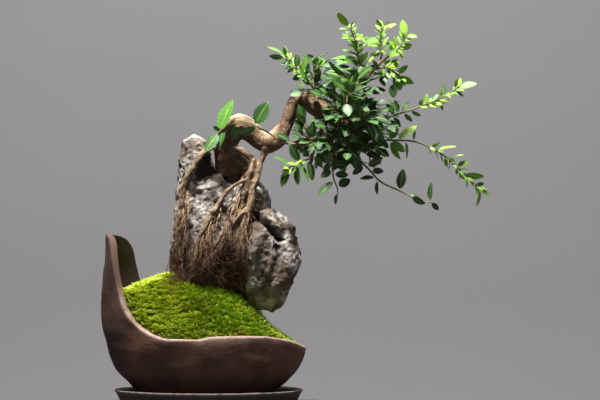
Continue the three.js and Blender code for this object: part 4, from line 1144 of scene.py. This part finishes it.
sprays = {
    "spray_upper_left": {
        "twig": [[100, -3, 272], [97, -5, 279], [92, -6, 287], [86, -7, 295], [80, -8, 301], [74, -9, 306],
            [67, -10, 315]],
        "leaves": [[54, 150, 19, 5], [52, 180, 15, 4], [42, 125, 7, 4], [39, -150, 9, 4], [37, 90, 13, 7],
            [31, 75, 14, 6], [22, 125, 13, 6], [27, 70, 14, 4], [29, -160, 11, 6], [17, 140, 11, 6],
            [7, 175, 17, 7]],
        "age": (0.15, 0.55)},
    "spray_stub": {
        "twig": [[97, 1, 270], [96, 2, 283], [95, 2, 292], [94, 3, 309]],
        "leaves": [[17, 75, 17, 6], [14, 10, 21, 10], [20, 25, 18, 5], [9, -10, 21, 9], [29, 65, 15, 6]],
        "age": (0, 0.2)},
    "spray_long_leaf": {
        "twig": [[126, -3, 271], [128, -8, 278], [127, -10, 286], [125, -12, 293]],
        "leaves": [[22, 140, 26, 4], [9, 100, 20, 9], [16, 180, 9, 4], [7, 55, 14, 6], [17, 55, 12, 5]],
        "age": (0.15, 0.55)},
    "spray_top": {
        "twig": [[139, 2, 286], [140, 0, 296], [138, -1, 304], [134, -1, 313], [133, -2, 322], [130, -3, 331],
            [127, -4, 340]],
        "leaves": [[56, 135, 18, 6], [54, 175, 11, 4], [41, 155, 14, 5], [51, -30, 18, 6], [36, 110, 12, 6],
            [31, 45, 7, 3], [23, 50, 12, 4], [20, 150, 10, 4], [26, 170, 12, 4], [28, 180, 25, 5]],
        "age": (0.5, 0.95)},
    "spray_crown_tip": {
        "twig": [[155, 5, 308], [161, 6, 313], [167, 6, 318], [172, 7, 323], [178, 8, 333]],
        "leaves": [[18, 95, 13, 4], [19, 130, 11, 4], [21, 0, 12, 3], [20, -60, 10, 5], [33, 100, 16, 8],
            [33, 10, 11, 6], [9, 140, 10, 3], [16, 130, 11, 3]],
        "age": (0.7, 1)},
    "spray_crown_side": {
        "twig": [[150, 2, 302], [158, -2, 303], [163, -4, 301], [169, -6, 297], [174, -8, 292]],
        "leaves": [[9, 25, 16, 8], [21, 30, 14, 5], [24, -30, 16, 6], [26, -90, 13, 7], [5, -70, 12, 6],
            [3, 125, 9, 4], [14, -115, 13, 5], [9, -110, 12, 5]],
        "age": (0.5, 0.95)},
    "spray_upright": {
        "twig": [[153, 4, 306], [156, 8, 316], [156, 9, 323], [155, 10, 328], [156, 11, 334], [158, 12, 342]],
        "leaves": [[36, 135, 10, 3], [33, 30, 14, 5], [20, 135, 6, 3], [17, 170, 13, 4], [12, -170, 11, 4],
            [27, 40, 6, 3]],
        "age": (0.7, 1)},
    "spray_right": {
        "twig": [[161, -7, 258], [169, -8, 261], [183, -10, 265], [193, -11, 269], [206, -13, 273],
            [211, -14, 277], [218, -15, 281], [224, -16, 285]],
        "leaves": [[68, 15, 18, 8], [57, 110, 12, 3], [47, -60, 10, 4], [30, 70, 7, 5], [15, -50, 12, 4],
            [21, -30, 11, 3], [11, 125, 13, 6], [7, 130, 13, 6], [9, 95, 14, 6], [13, 60, 13, 4],
            [4, -50, 13, 6]],
        "age": (0.15, 0.55)},
    "spray_right_low": {
        "twig": [[158, 6, 238], [168, 7, 238], [185, 8, 237], [199, 9, 232], [208, 10, 227], [217, 11, 220],
            [230, 12, 208], [236, 13, 202], [245, 14, 194]],
        "leaves": [[49, 15, 19, 5], [43, 25, 10, 3], [61, 15, 16, 3], [72, 20, 12, 6], [82, -10, 19, 5],
            [102, -35, 11, 5], [96, 5, 9, 4], [102, -95, 17, 4], [27, 85, 10, 3], [19, -80, 17, 4],
            [12, 40, 22, 9], [6, -40, 17, 8], [5, -65, 20, 5], [8, 120, 16, 6], [3, 45, 15, 6]],
        "age": (0.5, 0.95)},
    "spray_lower": {
        "twig": [[138, -10, 217], [145, -11, 210], [152, -12, 202], [158, -13, 198], [169, -14, 193],
            [188, -17, 184], [194, -17, 182], [199, -18, 182]],
        "leaves": [[42, 80, 20, 10], [53, -30, 15, 6], [72, 90, 18, 5], [72, -40, 11, 6], [18, 180, 15, 6],
            [20, -95, 14, 4], [5, 30, 17, 8], [10, 0, 12, 7], [3, -145, 14, 7], [62, 140, 10, 5]],
        "age": (0, 0.2)},
    "spray_hanging": {
        "twig": [[110, -17, 222], [111, -20, 211], [112, -22, 203], [115, -24, 195], [116, -26, 189]],
        "leaves": [[7, 0, 14, 9], [16, 0, 14, 8], [28, 30, 14, 10], [11, -145, 13, 8], [22, -140, 20, 9],
            [33, -105, 12, 4], [4, -130, 12, 7]],
        "age": (0, 0.2)},
    "spray_left_low": {
        "twig": [[95, -14, 228], [92, -17, 222], [86, -19, 219], [78, -22, 215], [71, -24, 212]],
        "leaves": [[19, 120, 19, 9], [28, 145, 19, 6], [28, -120, 21, 9], [22, -90, 19, 7], [20, -58, 18, 5],
            [11, -75, 20, 8], [5, -48, 15, 7], [8, 140, 14, 8]],
        "age": (0.15, 0.55)},
    "spray_left_mid": {
        "twig": [[99, -8, 237], [91, -10, 239], [85, -11, 239], [78, -13, 237], [74, -14, 236]],
        "leaves": [[15, -130, 14, 10], [26, 150, 16, 7], [15, 160, 12, 6], [8, 115, 12, 4], [7, 85, 16, 8],
            [14, -45, 16, 6]],
        "age": (0.05, 0.35)},
    "spray_over_trunk": {
        "twig": [[98, -9, 235], [86, -14, 232], [78, -15, 234], [67, -15, 235], [60, -15, 240], [52, -16, 245],
            [44, -17, 249], [36, -18, 253], [29, -18, 254], [22, -18, 252], [15, -18, 248], [9, -18, 244]],
        "leaves": [[98, 70, 32, 14], [63, 60, 24, 15], [98, -125, 22, 11], [91, -115, 20, 9], [60, -160, 19, 6],
            [84, -75, 15, 9], [95, 160, 10, 4]],
        "age": (0.05, 0.5)},
}
# Sprays of the crown's dense middle: where each leaves the wood and where it ends
fillSprays = {
    "spray_front_high": ([117, -6, 260], [126, -36, 279]), "spray_front_middle": ([125, -20, 258], [142, -42, 254]),
    "spray_front_low": ([124, -5, 246], [125, -40, 226]), "spray_back_high": ([119, 7, 261], [134, 38, 284]),
    "spray_back_middle": ([126, 20, 261], [150, 42, 256]), "spray_back_low": ([116, 2, 250], [114, 40, 232]),
}
fillLeaves = {
    "count": 8, "start": 0.18, "turn": 2.2, "forward": 0.75, "out": (0.2, 1.1), "length": (13, 17.5),
    "width": 0.58, "rise": 3, "age": (0.0, 0.3),
}
leaf = {
    "stalk": 2, "stalkShare": 0.15, "fold": 0.22, "droop": 0.1, "thickness": 0.28, "stations": 17, "tooth": 0.26,
    "wave": 0.05, "tries": 7, "seeds": 40, "lean": 0.7, "leanMore": 0.25, "found": 0.15,
    "young": 0.8, "tips": 0.5,  # the oldest ages of a young spray's slot and of twigs with leaves at their tips
}
twig = {"radius": (1.0, 0.45), "sides": 8, "sideRadius": 0.42, "sideSides": 5}
# More leaves among those sprays, each group inside an oval: on short side twigs in the crown's dark
# middle and its lighter top, and small ones just opened along the outer ends of the twigs
moreLeaves = [
    {"middle": (122, 0, 260), "half": (50, 46, 50), "tries": 6000, "count": 300, "start": 0, "side": (2, 24),
     "forward": 0.6, "length": (12.5, 17.5), "width": 0.62, "apart": 4.6, "age": (0.0, 0.28)},
    {"middle": (130, 0, 300), "half": (44, 34, 34), "tries": 3000, "count": 90, "start": 0.2, "side": (1, 12),
     "forward": 0.8, "length": (8, 14), "width": 0.52, "apart": 4.6, "age": (0.25, 0.85)},
    {"middle": (160, 0, 265), "half": (130, 60, 110), "tries": 3000, "count": 230, "start": 0.4, "side": (0, 0.6),
     "forward": 1.1, "length": (5, 11), "width": 0.4, "apart": 3.2, "age": (0.6, 1.0)},
]


def turned(v, axis, angle):
    return np.array(Matrix.Rotation(angle, 3, Vector(axis)) @ Vector(v))


def leafPose(base, along, facing, length, width):
    # A leaf's place and directions, with its upper side square to its length
    up = unit(facing - along * (facing @ along))
    return {"base": base, "along": along, "up": up, "length": length, "width": width}


def shownLeaf(points, row, seed, attempt):
    # A leaf seen in the front view, turned about its length until it looks as wide as its row says
    distance, angle, reach, seen = row
    base, _, total = evenly(points, [0])
    base = evenly(points, [min(1, distance / total)])[0][0]
    lean = (draw(seed, 1, attempt) - 0.5) * (leaf["lean"] + leaf["leanMore"] * attempt)
    along = unit(np.array([np.cos(np.radians(angle)), lean, np.sin(np.radians(angle))]))
    width = max(seen, min(0.5 * reach, 2 * seen))
    turn = np.arccos(seen / width) * (-1 if draw(seed, 2, attempt) < 0.5 else 1)
    facing = turned([0, -1, 0.25], along, turn)
    return leafPose(base, along, facing, reach * np.sqrt(1 + lean * lean * 0.5), width)


def fillLeaf(points, i, seed, attempt):
    # A leaf of the dense middle: left and right in turn along the twig, the last one ahead
    last = fillLeaves["count"] - 1
    base, forward, _ = evenly(points, [mix(fillLeaves["start"], 1, i / last)])
    turn = np.pi * i + fillLeaves["turn"] * (draw(seed, 1, attempt) - 0.5)
    side = turned(unit(np.cross([0, 0, 1], forward[0])), forward[0], turn)
    along = unit(forward[0] * fillLeaves["forward"] + side * fillLeaves["out"][0 if i == last else 1])
    facing = np.array([draw(seed, 2, attempt) - 0.5, draw(seed, 3, attempt) - 0.5, 1])
    reach = mix(*fillLeaves["length"], draw(seed, 4))
    return leafPose(base[0], along, facing, reach, reach * fillLeaves["width"])


def leafTip(pose):
    # The end of the drooping blade
    stalk = min(leaf["stalk"], pose["length"] * leaf["stalkShare"])
    span = pose["length"] - stalk
    return pose["base"] + pose["along"] * pose["length"] - pose["up"] * leaf["droop"] * span


def leafSpots(pose):
    # Three places along a leaf, which the others keep clear of
    return pose["base"] + pose["along"] * pose["length"] * np.array([0.2, 0.5, 0.85])[:, None]


def chosenPose(tree, make, points, row, seed):
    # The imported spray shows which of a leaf's tries was free: that leaf's tip is a point of it
    for attempt in range(leaf["tries"]):
        pose = make(points, row, seed, attempt)
        spot = tree.find_nearest(Vector(leafTip(pose)))
        if spot[3] is not None and spot[3] < leaf["found"]:
            return pose
    return None


def bladeReach(s):
    # Half width along the blade as a share of the widest: an oval with a short point
    return np.sin(np.pi * np.clip(s, 0, 1) ** 0.88) ** 0.72 * (1 - 0.12 * smoothStep(0.8, 1, s))


def makeLeafMesh(name, poses, ages):
    # Each blade is a grid from stalk to tip and edge to edge, folded at the midrib, with teeth along its
    # edges, drooping and a little waved, and a flatter underside that shares its edges
    base, ahead, up, length, width = (np.array([pose[k] for pose in poses], float)[:, None, None]
                                      for k in ("base", "along", "up", "length", "width"))
    across = np.cross(ahead, up)
    n, rows = len(poses), leaf["stations"]
    s = np.linspace(0, 1, rows)[None, :, None]
    stalk = np.minimum(leaf["stalk"], length * leaf["stalkShare"])
    span = length - stalk
    tooth = 1 - leaf["tooth"] * (np.arange(rows)[None, :, None] % 2) * (s > 0.06) * (s < 0.97)
    half = np.maximum(width / 2 * bladeReach(s) * tooth, 0.3 * (s < 0.05))
    seeds = draw(np.arange(n), 11)[:, None, None]

    def surface(columns, lift):
        c = np.asarray(columns, float)[None, None]
        out = half * c
        cup = leaf["fold"] * np.abs(out) * (1.25 - 0.35 * np.abs(c))
        bend = leaf["droop"] * span * s ** 2
        wave = leaf["wave"] * width * np.sin(9 * s + 6 * seeds) * c * (half / width.max())
        rise = cup - bend + wave + lift * (1 - np.abs(c))
        return base + ahead * (stalk + span * s)[..., None] + across * out[..., None] + up * rise[..., None]

    # Four points a row: left edge, midrib, right edge and underside
    points = np.concatenate([surface([-1, 0, 1], 0), surface([0], -leaf["thickness"])], axis=2)
    count = rows * 4
    last = count - 4
    quads = np.vstack([np.arange(0, last, 4)[:, None] + face
                       for face in ([0, 1, 5, 4], [1, 2, 6, 5], [3, 0, 4, 7], [2, 3, 7, 6])])
    caps = np.array([[3, 1, 0], [3, 2, 1], [last, last + 1, last + 3], [last + 1, last + 2, last + 3]])
    start = (np.arange(n) * count)[:, None, None]
    mesh = putMesh(name, points.reshape(-1, 3), (start + quads).reshape(-1, 4), (start + caps).reshape(-1, 3))
    c = np.array([-1, 0, 1, 0])
    blade = np.stack(np.broadcast_arrays(c[None, None], s, np.arange(n)[:, None, None]), axis=-1)
    storeValues(mesh, "blade", blade.reshape(-1, 3))
    storeValues(mesh, "age", np.repeat(ages, count))
    storeValues(mesh, "under", np.tile(np.arange(4) == 3, n * rows))
    # The leaf's two edges stay sharp
    column = readValues(mesh.edges, "vertices", 2, np.int32).reshape(-1, 2) % 4
    sharp = mesh.attributes.new("sharp_edge", "BOOLEAN", "EDGE")
    sharp.data.foreach_set("value", (column[:, 0] == column[:, 1]) & ((column[:, 0] == 0) | (column[:, 0] == 2)))
    return mesh


def leafMaterial():
    # Glossy green, paler the younger it is, with a pale midrib and side veins, and a paler underside
    material, tree, shader = newMaterial("elmLeaf", 0.46, 0.4)
    parts = partsOf(tree, pieceValue(tree, "blade", "Vector"))
    out = mathNode(tree, "ABSOLUTE", parts["X"])
    ramp = addNode(tree, "ValToRGB", {"Fac": pieceValue(tree, "age")})
    stops = [(0, srgb(28, 58, 22)), (0.3, srgb(46, 92, 32)), (0.6, srgb(92, 150, 40)), (1, srgb(150, 192, 50))]
    while len(ramp.color_ramp.elements) < len(stops):
        ramp.color_ramp.elements.new(0.5)
    for element, (at, color) in zip(ramp.color_ramp.elements, stops):
        element.position, element.color = at, color
    lane = mathNode(tree, "SUBTRACT", mathNode(tree, "MULTIPLY", parts["Y"], 9.0),
                    mathNode(tree, "MULTIPLY", out, 2.4))
    side = rampValue(tree, mathNode(tree, "PINGPONG", lane, 0.5), 0.1, 0.0)
    rib = rampValue(tree, out, 0.12, 0.02)
    vein = mathNode(tree, "MAXIMUM", mathNode(tree, "MULTIPLY", side, 0.45), rib)
    patch = patches(tree, objectPlace(tree), 220.0, 3.0, 0.4, 0.7)
    setColor(tree, shader, layered(
        tree, ramp.outputs["Color"], (vein, 0.5, srgb(176, 204, 120)), (patch, 0.25, srgb(24, 50, 16)),
        (pieceValue(tree, "under"), 0.5, srgb(116, 150, 84))))
    addBump(tree, shader, vein, 0.00025, 0.6)
    return material


def twigMaterial():
    # Young bark, brown and green
    colors = srgb(120, 104, 62), srgb(98, 108, 48)
    return patchedMaterial("greenTwig", 0.6, 0.3, (60.0, 3.0, 0.4, 0.6), colors)[0]


def morePoses(group, lines, taken):
    # Tries leaves at random along the twigs, and keeps those that stand clear of all others
    poses, stems, centre, half = [], [], np.array(group["middle"]), np.array(group["half"])
    for i in range(group["tries"]):
        line = lines[int(draw(i, 51) * len(lines))]
        k = 1 + int(mix(group["start"], 1, draw(i, 52)) * (len(line) - 2))
        ahead = unit(line[k + 1] - line[k - 1])
        side = turned(unit(np.cross([0.1, 0, 1], ahead)), ahead, 2 * np.pi * draw(i, 53))
        way = unit(group["forward"] * ahead + side)
        base = line[k] + way * mix(*group["side"], draw(i, 54))
        along = unit(way + [0.5 * (draw(i, 55) - 0.5), 0.5 * (draw(i, 56) - 0.5), -0.35 * draw(i, 57)])
        facing = np.array([0.8 * (draw(i, 58) - 0.5), -1.3 * draw(i, 59), 0.9])
        length = mix(*group["length"], draw(i, 60))
        pose = leafPose(base, along, facing, length, length * group["width"])
        spots = leafSpots(pose)
        if np.linalg.norm((spots[1] - centre) / half) > 1:
            continue
        if np.linalg.norm(np.array(taken)[:, None] - spots[1:], axis=2).min() < group["apart"]:
            continue
        taken.extend(spots)
        poses.append(pose)
        stems.append(np.array([line[k], mix(line[k], base, 0.5) + [0, 0, 0.5], base + along * 1.5]))
        if len(poses) == group["count"]:
            break
    return poses, stems


def sprayRows():
    # Each spray's name, its twig's points, the rule for its leaves with a row for each, and their ages
    for name, spray in sprays.items():
        yield name, np.array(spray["twig"], float), shownLeaf, spray["leaves"], spray["age"]
    for name, (start, end) in fillSprays.items():
        middle = mix(np.array(start), np.array(end), 0.5) + [0, 0, fillLeaves["rise"]]
        yield name, np.array([start, middle, end], float), fillLeaf, range(fillLeaves["count"]), fillLeaves["age"]


def sprayPoses(owner, name, points, make, rows, age):
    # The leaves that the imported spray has, and an age for each
    tree = treeOf(*nodeMesh(name))
    poses, ages = [], []
    for seed, row in enumerate(rows, owner * leaf["seeds"]):
        pose = chosenPose(tree, make, points, row, seed)
        if pose:
            poses.append(pose)
            ages.append(mix(*age, draw(seed, 21)))
    return poses, np.array(ages)


def makeSprays():
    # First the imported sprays, then more leaves along their twigs and the bare branches
    leafGreen = leafMaterial()
    twigs, lines, youngLines, taken = [], [], [], []
    for owner, (name, points, make, rows, age) in enumerate(sprayRows()):
        poses, ages = sprayPoses(owner, name, points, make, rows, age)
        slot = "leaf_mature" if age[1] < leaf["young"] else "leaf_young"
        addPiece(name + "_leaves", makeLeafMesh(name, poses, ages), leafGreen, slot, name)
        shares = np.linspace(0, 1, max(8, len(points) * 4))
        line = evenly(points, shares)[0]
        twigs.append(tube(line, mix(*twig["radius"], shares), twig["sides"]))
        lines.append(line)
        if age[1] > leaf["tips"]:
            youngLines.append(line)
        taken += [spot for pose in poses for spot in leafSpots(pose)]
    bare = [line for line, _, _ in limbs[1:1 + len(branches)]]
    groups = [("crown_leaves", "leaf_mature", lines + bare), ("crown_top_leaves", "leaf_young", lines),
              ("tip_leaves", "leaf_young", youngLines)]
    for group, (piece, slot, bearing) in zip(moreLeaves, groups):
        poses, stems = morePoses(group, bearing, taken)
        ages = mix(*group["age"], draw(np.arange(len(poses)), 61))
        addPiece(piece, makeLeafMesh(piece, poses, ages), leafGreen, slot)
        twigs += [tube(stem, np.full(len(stem), twig["sideRadius"]), twig["sideSides"]) for stem in stems]
    addPiece("twigs", putMesh("twigs", *gather(twigs)), twigMaterial(), "bark")


makeSprays()
